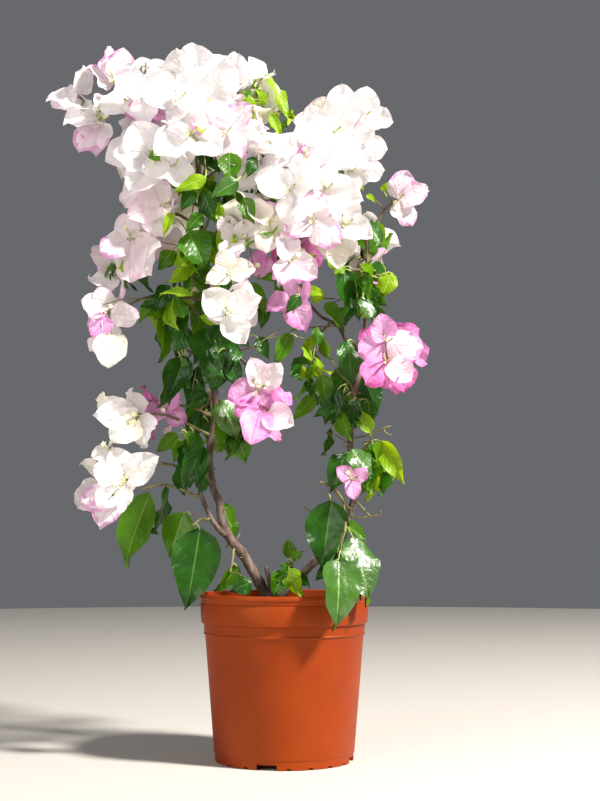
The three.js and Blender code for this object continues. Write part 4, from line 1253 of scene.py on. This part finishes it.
def add_flower(mass, shoot, bearer, opening, length, gaps, chance):
    """Three papery bracts that open round the shoot, with small tube flowers between them."""
    tint = dealt_tint(mass["tint"], chance())
    kept = []
    for root, axis, around in sides_at(shoot, bearer):
        open_by = opening * (0.85 + 0.3 * chance())
        along = axis * math.cos(open_by) + around * math.sin(open_by)
        along = (along - UP * 0.5 * mass["nod"]).normalized()
        blade = {
            **BRACT_BUILD, "root": root, "along": along, "face": square_to(axis, along),
            "broad": 0.88 + 0.2 * chance(), "length": length * (0.88 + 0.24 * chance()),
            "tint": tint, "variant": one_of(BRACT_KINDS, chance),
        }
        if has_room(blade_spots(blade), mass, 0, gaps):
            kept.append(blade)
    for blade in kept:
        add_spots(blade_spots(blade), 0, mass["number"])
        bracts.append(blade)
    if len(kept) > 1:
        axis, around = sides_at(shoot, bearer)[0][1:]
        flowers.append({"root": shoot["path"][bearer], "axis": axis, "around": around, "draw": chance()})
    return len(kept)


def add_leaves(mass, shoot, bearer, count, leaf, gaps, chance):
    """Leaves on short stalks at one point of a shoot: each hangs and turns its upper face outward."""
    kept = 0
    # Leaves among the flowers stand high in the sun and take the bright tint, partly as painted sunlight.
    tint = mass["tint"] if mass["bears"] == "leafy" else "bright"
    sides = sorted(sides_at(shoot, bearer), key=lambda side: -side[2].dot(mass["facing"]))
    for root, axis, around in sides:
        hang = mass["hang"] * (0.8 + 0.4 * chance())
        along = ((around + axis * 0.3) * (1.1 - hang) - UP * hang).normalized()
        length = leaf * (0.72 + 0.28 * chance())
        draw = chance()
        variant = one_of(LEAF_KINDS, chance)
        if kept == count or along.dot(around) < 0.1:
            continue
        lit = square_to(mass["facing"] + axis * 0.5, along)
        edge = around.cross(axis)
        face = lit if abs(along.cross(lit).dot(edge)) > 0.45 else square_to(axis, along)
        stalk = STALK_SHARE * length
        start = root + (around * 0.8 + along * 0.4).normalized() * stalk
        blade = {
            **LEAF_BUILD, "root": start, "along": along, "face": face, "broad": 0.9 + 0.25 * draw,
            "length": length - stalk, "tint": dealt_tint(tint, draw), "variant": variant,
        }
        places = blade_spots(blade)
        if has_room(places, mass, 0, gaps):
            add_spots(places, 0, mass["number"])
            leaves.append(blade)
            petioles.append([root - around, (root + start) / 2 + UP * 0.8, start + along * 1.5])
            kept += 1
    return kept


def fan_out(i, count, turn):
    """One of some ways that are spread evenly all round, as far as a ball's golden spiral can."""
    height = 1 - 2 * (i + 0.5) / count
    ring = math.sqrt(1 - height * height)
    turn += i * GOLDEN_TURN
    return Vector((ring * math.cos(turn), ring * math.sin(turn), height))


def grow_first(mass, chance):
    """Twigs fan out evenly from the stem's outer half into the space, as in the solids."""
    phase = 2 * math.pi * chance()
    stem = mass["stem"]
    grown = [{"path": stem, "radii": STEM_RADII, "roll": phase}]
    room = mass["leaf"] * 0.55 if mass["bears"] == "leafy" else BRACT_LENGTH * 0.7
    no_gap = {**FIRST_GAPS, "own": 0}
    for i in range(mass["twigs"]):
        fill = 0.75 + 0.25 * chance()
        half = Vector([max(r - room, r * 0.35) * fill for r in mass["reach"]])
        end = mass["centre"] + fan_out(i, mass["twigs"], phase) * half
        path = arched(place_on(stem, 0.45 + 0.45 * chance())[0], end, 0.1, 0.5)
        roll = 2 * math.pi * chance()
        if has_room(path[1:], mass, 1, no_gap):
            add_spots(path, 1, -mass["number"])
            grown.append({"path": path, "radii": TWIG_RADII, "roll": roll})
    shoots.extend(grown)
    if mass["twigs"] + mass["fine"] == 0:
        return grown
    for shoot in grown:
        last = len(shoot["path"]) - 1
        if mass["bears"] == "leafy":
            add_leaves(mass, shoot, last, 2, mass["leaf"], FIRST_GAPS, chance)
        else:
            add_flower(mass, shoot, last, 0.85, BRACT_LENGTH, FIRST_GAPS, chance)
        if mass["bears"] == "blossom":
            add_flower(mass, shoot, last - 1, 1.25, BRACT_LENGTH, FIRST_GAPS, chance)
        else:
            add_leaves(mass, shoot, last - 1, 2, mass["leaf"], FIRST_GAPS, chance)
    return grown


def grow_finer(mass, grown, chance):
    """Finer twigs fill the space in turn: each leaves the nearest shoot and bears one flower or a leaf."""
    count = mass["fine"]
    length = BRACT_LENGTH * 0.9
    for i in range(count):
        way = fan_out(i, count, 2 * math.pi * chance())
        depth = 0.45 + 0.55 * chance() ** 0.5
        half = Vector([max(r - 0.62 * length, r * 0.4) * depth for r in mass["reach"]])
        end = mass["centre"] + way * half
        starts = [point for shoot in grown for point in shoot["path"][1:]]
        starts = [point for point in starts if (point - end).length > SHORTEST_TWIG] or starts
        root = min(starts, key=lambda point: (point - end).length)
        shoot = {"path": arched(root, end, 0.08), "radii": FINE_RADII, "roll": 2 * math.pi * chance()}
        flowering = mass["bears"] == "blossom" or (mass["bears"] == "mixed" and chance() < 0.6)
        if flowering:
            kept = add_flower(mass, shoot, 2, 0.75 + 0.35 * chance(), length, FINE_GAPS, chance)
            kept += add_leaves(mass, shoot, 1, 1, mass["leaf"] * 0.5, FINE_GAPS, chance)
        else:
            kept = add_leaves(mass, shoot, 2, 1, mass["leaf"] * 0.75, FINE_GAPS, chance)
            kept += add_leaves(mass, shoot, 1, 1, mass["leaf"] * 0.6, FINE_GAPS, chance)
        if kept:
            shoots.append(shoot)


eye = Vector(CAMERA_PLACE) / MM
for x, z, radius in SHOWN_GAPS:
    sight = Vector((x, 0, z)) - eye
    add_spots([eye + sight * (1 - y / eye.y) for y in range(-GAP_DEPTH, GAP_DEPTH, 10)], radius, OPEN_OWNER)
chance = chance_from(5)
for shown in SHOWN_LEAVES:
    add_shown_leaf(*shown)
for shown in SHOWN_FLOWERS:
    add_shown_flower(chance, *shown)
grown_by_mass = []
for mass in masses:
    chance = chance_from(mass["number"])
    grown_by_mass.append((mass, grow_first(mass, chance), chance))
for mass, grown, chance in grown_by_mass:
    grow_finer(mass, grown, chance)

green_colours = [(0.3, (0.1, 0.06, 0.03)), (0.5, (0.16, 0.13, 0.05)), (0.72, (0.2, 0.24, 0.07))]
green_wood, tree, shader = new_finish("green_wood", 0.6, 90, 5, green_colours, (1, 1, 0.4))
raise_grain(tree, shader, speckle(tree, 600, 4, (1, 1, 0.3)), 0.2 * MM)
drawn_shoots = []
for thick, path in DRY_TWIGS:
    steps = 3 * len(path)
    path = smooth_path([Vector(point) for point in path], steps)
    drawn_shoots.append((path, [thick] * steps + [0.3 * thick]))
for shoot in shoots:
    path = smooth_path(shoot["path"], 2 * len(shoot["path"]))
    foot, tip = shoot["radii"]
    drawn_shoots.append((path, [foot + (tip - foot) * i / (len(path) - 1) for i in range(len(path))]))
twigs = draw_stems("twigs", drawn_shoots, green_wood, 1)
bpy.ops.object.shade_smooth()
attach(twigs, "root")


# Thorns. Every few joints a stiff sharp spike of tan and brown wood stands out from the leaders and side
# boughs and leans a little toward the shoot's tip.
THORN_SPACING = 4
THORN_LENGTH = 9
THORN_FOOT = 0.08
THORN_TIP = 0.01


def stood_up(root, across, axis, length):
    """The place of a copy that stands on its root along an axis."""
    return tuple(root * MM), [tuple(across), tuple(axis.cross(across)), tuple(axis)], length * MM


bpy.ops.mesh.primitive_cone_add(
    vertices=6, radius1=THORN_FOOT, radius2=THORN_TIP, depth=1, location=(0, 0, 0.5)
)
spike = bpy.context.object
bpy.ops.object.transform_apply(location=True)
chance = chance_from(33)
thorn_places = []
for limb in limbs.values():
    path = limb["path"]
    for i in range(THORN_SPACING, len(path) - 1, THORN_SPACING):
        along = (path[i + 1] - path[i - 1]).normalized()
        turn = 2 * math.pi * chance()
        side = square_to(Vector((math.cos(turn), math.sin(turn), 0)), along)
        axis = (side + along * (0.2 + 0.3 * chance())).normalized()
        across = square_to(along, axis)
        root = path[i] + side * 0.7 * limb["radii"][1]
        length = THORN_LENGTH * (0.7 + 0.5 * chance())
        thorn_places.append(stood_up(root, across, axis, length))

thorn_colours = [(0.35, (0.24, 0.16, 0.1)), (0.65, (0.46, 0.36, 0.22))]
thorn_wood = new_finish("thorn_wood", 0.55, 160, 4, thorn_colours)[0]
thorns = join_copies("thorns", [(spike, thorn_places)], [thorn_wood])
bpy.data.objects.remove(spike)
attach(thorns, "root")


# Leaves. Each is an oval blade that narrows to a point, glossy and dark above when grown and yellow-green
# when young, folded a little along its rib, on a thin pale stalk. Light shines through it against the sun.
# The dark and mid greens are also partly painted shade and painted sunlight: leaves that stand in shade
# are given the darker green, and those in the sun or lit from behind the paler one.
STALK_RADII = (0.8, 0.75, 0.7, 0.65, 0.6, 0.6)
CELL = 0.004
MERGE = 0.0005
MID_RIB = 0.5
EDGE_WAVES = 11
LONG_RIPPLE = 9
SHORT_RIPPLE = 19
SHOULDER = 0.05
RIB_ZONE = 0.2
RIM_SLANT = 0.7
NO_RIM = 2
LEAF_VEIN = 0.008
LEAF_HEART = 0.1
LEAF_CRINKLE = 90
SHEEN = 0.3
RELIEF = 1.6
QUILT = 0.12
SIDE_RIBS = 6
RIB_SWEEP = 0.8

# Where the lines of a blade run, from its mid rib to its edge, and its half breadth from foot to tip.
ACROSS = (0, 0.04, 0.38, 0.72, 1)
LEAF_OUTLINE = (0.06, 0.6, 0.9, 1, 0.98, 0.9, 0.78, 0.62, 0.42, 0.2, 0)

# Forms that a blade comes in: how cupped, how folded along the rib, how wavy, and where the waves begin.
LEAF_FORMS = ((0.1, 0.16, 0.05, 0.3), (0.2, 0.26, 0.06, 1.7), (-0.12, 0.1, 0.07, 3.1))


def model_blade(name, outline, form, width, curl, vein, heart, rim):
    """A blade one unit long: a flat grid, drawn row by row to its outline, folded, cupped and waved.

    Its faces take the finish of the blade, of the mid rib or of the rim by their place in the flat grid.
    """
    cup, fold, wave, phase = form
    rows = len(outline) - 1
    columns = len(ACROSS) - 1
    bpy.ops.mesh.primitive_grid_add(
        x_subdivisions=2 * columns, y_subdivisions=rows, size=1, location=(0, 0.5, 0)
    )
    blade = bpy.context.object
    blade.name = name
    bpy.ops.object.transform_apply(location=True)
    for face in blade.data.polygons:
        out = 2 * abs(face.center.x)
        on_rim = out > rim - RIM_SLANT * face.center.y
        face.material_index = 1 if out < RIB_ZONE else 2 if on_rim else 0
    bpy.ops.object.mode_set(mode="EDIT")
    for row in reversed(range(rows + 1)):
        share = row / rows
        for column in range(-columns, columns + 1):
            here = 0.5 * column / columns
            select_corners(blade, lambda co: abs(co.y - share) < CELL and abs(co.x - here) < CELL)
            across = ACROSS[abs(column)]
            side = column > 0
            reach = across * width / 2 * outline[row]
            reach *= 1 + 0.5 * wave * across * math.sin(EDGE_WAVES * share + 3 * phase + 2 * side)
            if column:
                bpy.ops.transform.resize(value=(reach / abs(here), 1, 1), center_override=(0, share, 0))
            lift = fold * reach + cup * reach * across - curl * share * share
            ripple = math.sin(LONG_RIPPLE * share + phase + 2 * side)
            ripple += 0.5 * math.sin(SHORT_RIPPLE * share + 2 * phase + side)
            lift += wave * across * across * ripple
            lift -= vein * (row % 2) * min(1, across * 4) * (1 - share)
            forward = across * outline[row] * (SHOULDER - heart * (1 - share) ** 4) if 0 < row < rows else 0
            bpy.ops.transform.translate(value=(0, forward, lift))
    bpy.ops.mesh.select_all(action="SELECT")
    bpy.ops.mesh.remove_doubles(threshold=MERGE)
    bpy.ops.object.mode_set(mode="OBJECT")
    spread = blade.data.uv_layers[0].data
    for loop in blade.data.loops:
        co = blade.data.vertices[loop.vertex_index].co
        spread[loop.index].uv = (MID_RIB + co.x / width, co.y)
    return blade


def work_out(tree, operation, *values):
    """A sum done by a node on numbers or on the outputs of other nodes."""
    node = tree.nodes.new("ShaderNodeMath")
    node.operation = operation
    for socket, value in zip(node.inputs, values):
        if isinstance(value, bpy.types.NodeSocket):
            tree.links.new(value, socket)
        else:
            socket.default_value = value
    return node.outputs["Value"]


def quilting(tree):
    """Swellings between the side ribs of a blade, which sweep from the mid rib toward the tip."""
    spread = tree.nodes.new("ShaderNodeUVMap")
    spread.uv_map = "blade"
    split = tree.nodes.new("ShaderNodeSeparateXYZ")
    tree.links.new(spread.outputs["UV"], split.inputs["Vector"])
    off_rib = work_out(tree, "ABSOLUTE", work_out(tree, "SUBTRACT", split.outputs["X"], MID_RIB))
    swept = work_out(tree, "MULTIPLY_ADD", off_rib, -RIB_SWEEP, split.outputs["Y"])
    wave = work_out(tree, "SINE", work_out(tree, "MULTIPLY", swept, math.pi * SIDE_RIBS))
    return work_out(tree, "ABSOLUTE", wave)


def leaf_finish(name, dark, light, glow, through, roughness, quilt, crinkle, gloss=SHEEN, depth=RELIEF):
    """A leaf's skin, cloudy and quilted to a depth in millimetres, with the colour that shines through it."""
    finish, tree, shader = new_finish(name, roughness, 45, 5, [(0.3, dark), (0.7, light)])
    shader.inputs["Specular IOR Level"].default_value = gloss
    relief = work_out(tree, "MULTIPLY_ADD", quilting(tree), quilt, speckle(tree, crinkle, 3))
    raise_grain(tree, shader, relief, depth * MM)
    shine = tree.nodes.new("ShaderNodeBsdfTranslucent")
    shine.inputs["Color"].default_value = (*glow, 1)
    both = tree.nodes.new("ShaderNodeMixShader")
    both.inputs["Fac"].default_value = through
    out = tree.nodes["Material Output"]
    tree.links.new(shader.outputs["BSDF"], both.inputs[1])
    tree.links.new(shine.outputs["BSDF"], both.inputs[2])
    tree.links.new(both.outputs["Shader"], out.inputs["Surface"])
    return finish


def green_skins(name, skins, through, quilt=QUILT, gloss=SHEEN, depth=RELIEF):
    """The finishes of a leaf: its blade and its mid rib."""
    relief = (quilt, LEAF_CRINKLE, gloss, depth)
    return [
        leaf_finish(f"{name}_{zone}", *colours, through, roughness, *relief)
        for zone, *colours, roughness in skins
    ]


# Each zone's dark and light colour, the colour that shines through it, and its roughness.
LEAF_SKINS = {
    # The dark_leaf and green_leaf skins are partly shaded and lit copies of one leaf: the dark one's colour
    # holds painted shade and the mid one's painted sunlight, besides the real spread between grown and
    # fresher leaves.
    "dark": green_skins("dark_leaf", [
        ("blade", (0.005, 0.04, 0.002), (0.018, 0.095, 0.004), (0.09, 0.3, 0.003), 0.34),
        ("rib", (0.04, 0.13, 0.025), (0.08, 0.2, 0.04), (0.2, 0.4, 0.05), 0.4),
    ], 0.22),
    "mid": green_skins("green_leaf", [
        ("blade", (0.022, 0.1, 0.003), (0.065, 0.19, 0.006), (0.24, 0.52, 0.006), 0.33),
        ("rib", (0.13, 0.28, 0.04), (0.2, 0.36, 0.07), (0.3, 0.55, 0.06), 0.4),
    ], 0.34),
    "waxy": green_skins("waxy_leaf", [
        ("blade", (0.014, 0.08, 0.003), (0.045, 0.15, 0.006), (0.2, 0.45, 0.006), 0.4),
        ("rib", (0.12, 0.26, 0.05), (0.2, 0.36, 0.09), (0.3, 0.55, 0.06), 0.34),
    ], 0.22, quilt=0.03, gloss=0.8, depth=2.2),
    "young": green_skins("young_leaf", [
        ("blade", (0.13, 0.3, 0.004), (0.28, 0.47, 0.008), (0.55, 0.75, 0.01), 0.4),
        ("rib", (0.35, 0.5, 0.08), (0.45, 0.6, 0.12), (0.6, 0.8, 0.1), 0.45),
    ], 0.4),
}


def axes_of(blade):
    """The blade's breadth, length and upper side as three axes."""
    side = blade["along"].cross(blade["face"]) * blade["broad"]
    return [tuple(side), tuple(blade["along"]), tuple(blade["face"])]


def deal(blades, models, tint):
    """Each model with the places of the blades that take it, in one tint."""
    dealt = []
    for number, model in enumerate(models):
        places = [
            (tuple(blade["root"] * MM), axes_of(blade), blade["length"] * MM)
            for blade in blades
            if blade["tint"] == tint and blade["variant"] == number
        ]
        dealt.append((model, places))
    return dealt


leaf_models = [
    model_blade("leaf_model", LEAF_OUTLINE, form, **LEAF_BUILD, vein=LEAF_VEIN, heart=LEAF_HEART, rim=NO_RIM)
    for form in LEAF_FORMS
]
leafy_masses = [mass["name"] for mass in masses if mass["bears"] == "leafy"]
flowering_masses = [mass["name"] for mass in masses if mass["bears"] != "leafy"]
for tint, skins in LEAF_SKINS.items():
    piece = join_copies("leaves_" + tint, deal(leaves, leaf_models, tint), skins)
    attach(piece, "root")
    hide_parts(*leafy_masses)

stalk_colours = [(0.35, (0.2, 0.3, 0.05)), (0.65, (0.42, 0.5, 0.14))]
petiole_skin = new_finish("petiole_skin", 0.5, 120, 3, stalk_colours)[0]
drawn_stalks = [(smooth_path(path, len(STALK_RADII) - 1), STALK_RADII) for path in petioles]
stalks = draw_stems("leaf_stalks", drawn_stalks, petiole_skin, 1)
bpy.ops.object.shade_smooth()
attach(stalks, "root")


# Bracts. Three papery leaves round each flower, white in the sun and flushed with pink or magenta on the
# lower shoots, thin enough to glow, with a fine rib and softly crinkled edges.
BRACT_OUTLINE = (0.14, 0.68, 0.9, 0.99, 1, 0.98, 0.91, 0.8, 0.64, 0.4, 0)
BRACT_RIM = 1.22
BRACT_VEIN = 0.006
BRACT_HEART = 0.2
BRACT_GLOW = 0.42
BRACT_ROUGHNESS = 0.6
BRACT_CRINKLE = 150

# Forms as for the leaves: cupped, folded, wavy, and where the waves begin.
BRACT_FORMS = (
    (0.25, 0.05, 0.06, 0.2),
    (0.1, 0.2, 0.08, 2.1),
    (-0.2, 0.1, 0.07, 3.6),
    (0.4, 0, 0.06, 5),
    (-0.05, -0.15, 0.09, 1.1),
)


def papery_skins(name, skins):
    """The finishes of a bract: its blade, its mid rib and its rim, which flushes deeper."""
    return [
        leaf_finish(f"{name}_{zone}", *colours, BRACT_GLOW, BRACT_ROUGHNESS, QUILT, BRACT_CRINKLE)
        for zone, *colours in skins
    ]


# Each zone's deep and pale colour, and the colour that shines through it.
BRACT_SKINS = {
    "white": papery_skins("white_bract", [
        ("blade", (0.87, 0.84, 0.87), (0.95, 0.93, 0.94), (0.96, 0.93, 0.95)),
        ("rib", (0.8, 0.8, 0.72), (0.88, 0.88, 0.82), (0.92, 0.92, 0.82)),
        ("rim", (0.88, 0.82, 0.87), (0.95, 0.91, 0.94), (0.97, 0.9, 0.95)),
    ]),
    "cream": papery_skins("cream_bract", [
        ("blade", (0.84, 0.8, 0.7), (0.93, 0.91, 0.82), (0.95, 0.92, 0.8)),
        ("rib", (0.68, 0.72, 0.48), (0.8, 0.83, 0.6), (0.85, 0.88, 0.55)),
        ("rim", (0.86, 0.81, 0.74), (0.94, 0.9, 0.85), (0.95, 0.9, 0.82)),
    ]),
    "blush": papery_skins("blush_bract", [
        ("blade", (0.86, 0.72, 0.81), (0.95, 0.9, 0.93), (0.97, 0.86, 0.9)),
        ("rib", (0.74, 0.56, 0.62), (0.86, 0.76, 0.78), (0.92, 0.72, 0.77)),
        ("rim", (0.84, 0.6, 0.76), (0.94, 0.83, 0.91), (0.96, 0.76, 0.88)),
    ]),
    "edged": papery_skins("edged_bract", [
        ("blade", (0.86, 0.7, 0.82), (0.95, 0.9, 0.94), (0.97, 0.86, 0.92)),
        ("rib", (0.74, 0.5, 0.66), (0.86, 0.72, 0.8), (0.92, 0.68, 0.8)),
        ("rim", (0.68, 0.3, 0.6), (0.86, 0.58, 0.82), (0.94, 0.55, 0.82)),
    ]),
    "pink": papery_skins("pink_bract", [
        ("blade", (0.68, 0.24, 0.56), (0.87, 0.56, 0.83), (0.95, 0.48, 0.82)),
        ("rib", (0.52, 0.14, 0.4), (0.68, 0.32, 0.6), (0.85, 0.32, 0.6)),
        ("rim", (0.62, 0.14, 0.46), (0.78, 0.38, 0.72), (0.92, 0.35, 0.7)),
    ]),
    "magenta": papery_skins("magenta_bract", [
        ("blade", (0.58, 0.12, 0.38), (0.78, 0.34, 0.66), (0.92, 0.3, 0.62)),
        ("rib", (0.38, 0.05, 0.24), (0.54, 0.14, 0.42), (0.8, 0.15, 0.42)),
        ("rim", (0.48, 0.07, 0.3), (0.66, 0.2, 0.54), (0.9, 0.22, 0.54)),
    ]),
}
bract_models = [
    model_blade(
        "bract_model", BRACT_OUTLINE, form, **BRACT_BUILD, vein=BRACT_VEIN, heart=BRACT_HEART, rim=BRACT_RIM
    )
    for form in BRACT_FORMS
]
for tint, skins in BRACT_SKINS.items():
    piece = join_copies("bracts_" + tint, deal(bracts, bract_models, tint), skins)
    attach(piece, "root")
    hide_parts(*flowering_masses)


# Tube flowers. Between the bracts stand up to three slim green tubes, and the open ones end in a small
# cream star.
TUBE_LENGTH = 17
TUBE_FOOT = 0.3
TUBE_RADIUS = 0.055
STAR_POINTS = 5
STAR_RADIUS = 0.2
UNGROWN = 0.25
OPENED = 0.55

# How far each next stretch of the tube rises, and how much it widens.
TUBE_STEPS = ((0.45, 1.3), (0.2, 0.85), (0.05, 1.1))

bpy.ops.mesh.primitive_cylinder_add(
    vertices=6, radius=TUBE_RADIUS, depth=TUBE_FOOT, end_fill_type="NOTHING", location=(0, 0, TUBE_FOOT / 2)
)
tube = bpy.context.object
bpy.ops.object.transform_apply(location=True)
bpy.ops.object.mode_set(mode="EDIT")
top = TUBE_FOOT
for rise, swell in TUBE_STEPS:
    select_corners(tube, lambda co: co.z > top - 0.001)
    bpy.ops.mesh.extrude_region()
    bpy.ops.transform.resize(value=(swell, swell, 1), center_override=(0, 0, 0))
    bpy.ops.transform.translate(value=(0, 0, rise))
    top += rise
bpy.ops.object.mode_set(mode="OBJECT")
bpy.ops.mesh.primitive_circle_add(
    vertices=2 * STAR_POINTS, radius=STAR_RADIUS, fill_type="TRIFAN", location=(0, 0, 1)
)
star = bpy.context.object
bpy.ops.object.transform_apply(location=True)
bpy.ops.object.mode_set(mode="EDIT")
for k in range(STAR_POINTS):
    turn = 2 * math.pi * k / STAR_POINTS
    notch = Vector((-math.sin(turn), math.cos(turn))) * STAR_RADIUS
    select_corners(star, lambda co: (co.xy - notch).length < 0.03)
    bpy.ops.transform.resize(value=(0.5, 0.5, 1), center_override=(0, 0, 0))
select_corners(star, lambda co: co.xy.length < 0.02)
bpy.ops.transform.translate(value=(0, 0, -0.05))
bpy.ops.object.mode_set(mode="OBJECT")

tube_places, star_places = [], []
for flower in flowers:
    chance = chance_from(int(1 + flower["draw"] * 9000))
    for k in range(3):
        if chance() < UNGROWN:
            continue
        lean = turned(flower["around"], flower["axis"], 2 * math.pi * (k + 0.3) / 3)
        axis = (flower["axis"] + lean * (0.2 + 0.3 * chance())).normalized()
        length = TUBE_LENGTH * (0.75 + 0.35 * chance())
        place = stood_up(flower["root"] + lean, square_to(lean, axis), axis, length)
        tube_places.append(place)
        if chance() < OPENED:
            star_places.append(place)

tube_colours = [(0.35, (0.4, 0.5, 0.16)), (0.65, (0.66, 0.62, 0.34))]
tube_skin = new_finish("tube_skin", 0.55, 150, 3, tube_colours)[0]
star_colours = [(0.35, (0.85, 0.8, 0.5)), (0.65, (0.93, 0.9, 0.7))]
star_skin = new_finish("star_skin", 0.5, 200, 3, star_colours)[0]
tubes = join_copies("flower_tubes", [(tube, tube_places)], [tube_skin])
stars = join_copies("flower_stars", [(star, star_places)], [star_skin])
for piece in (tubes, stars):
    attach(piece, "root")
for model in [tube, star, *leaf_models, *bract_models]:
    bpy.data.objects.remove(model)
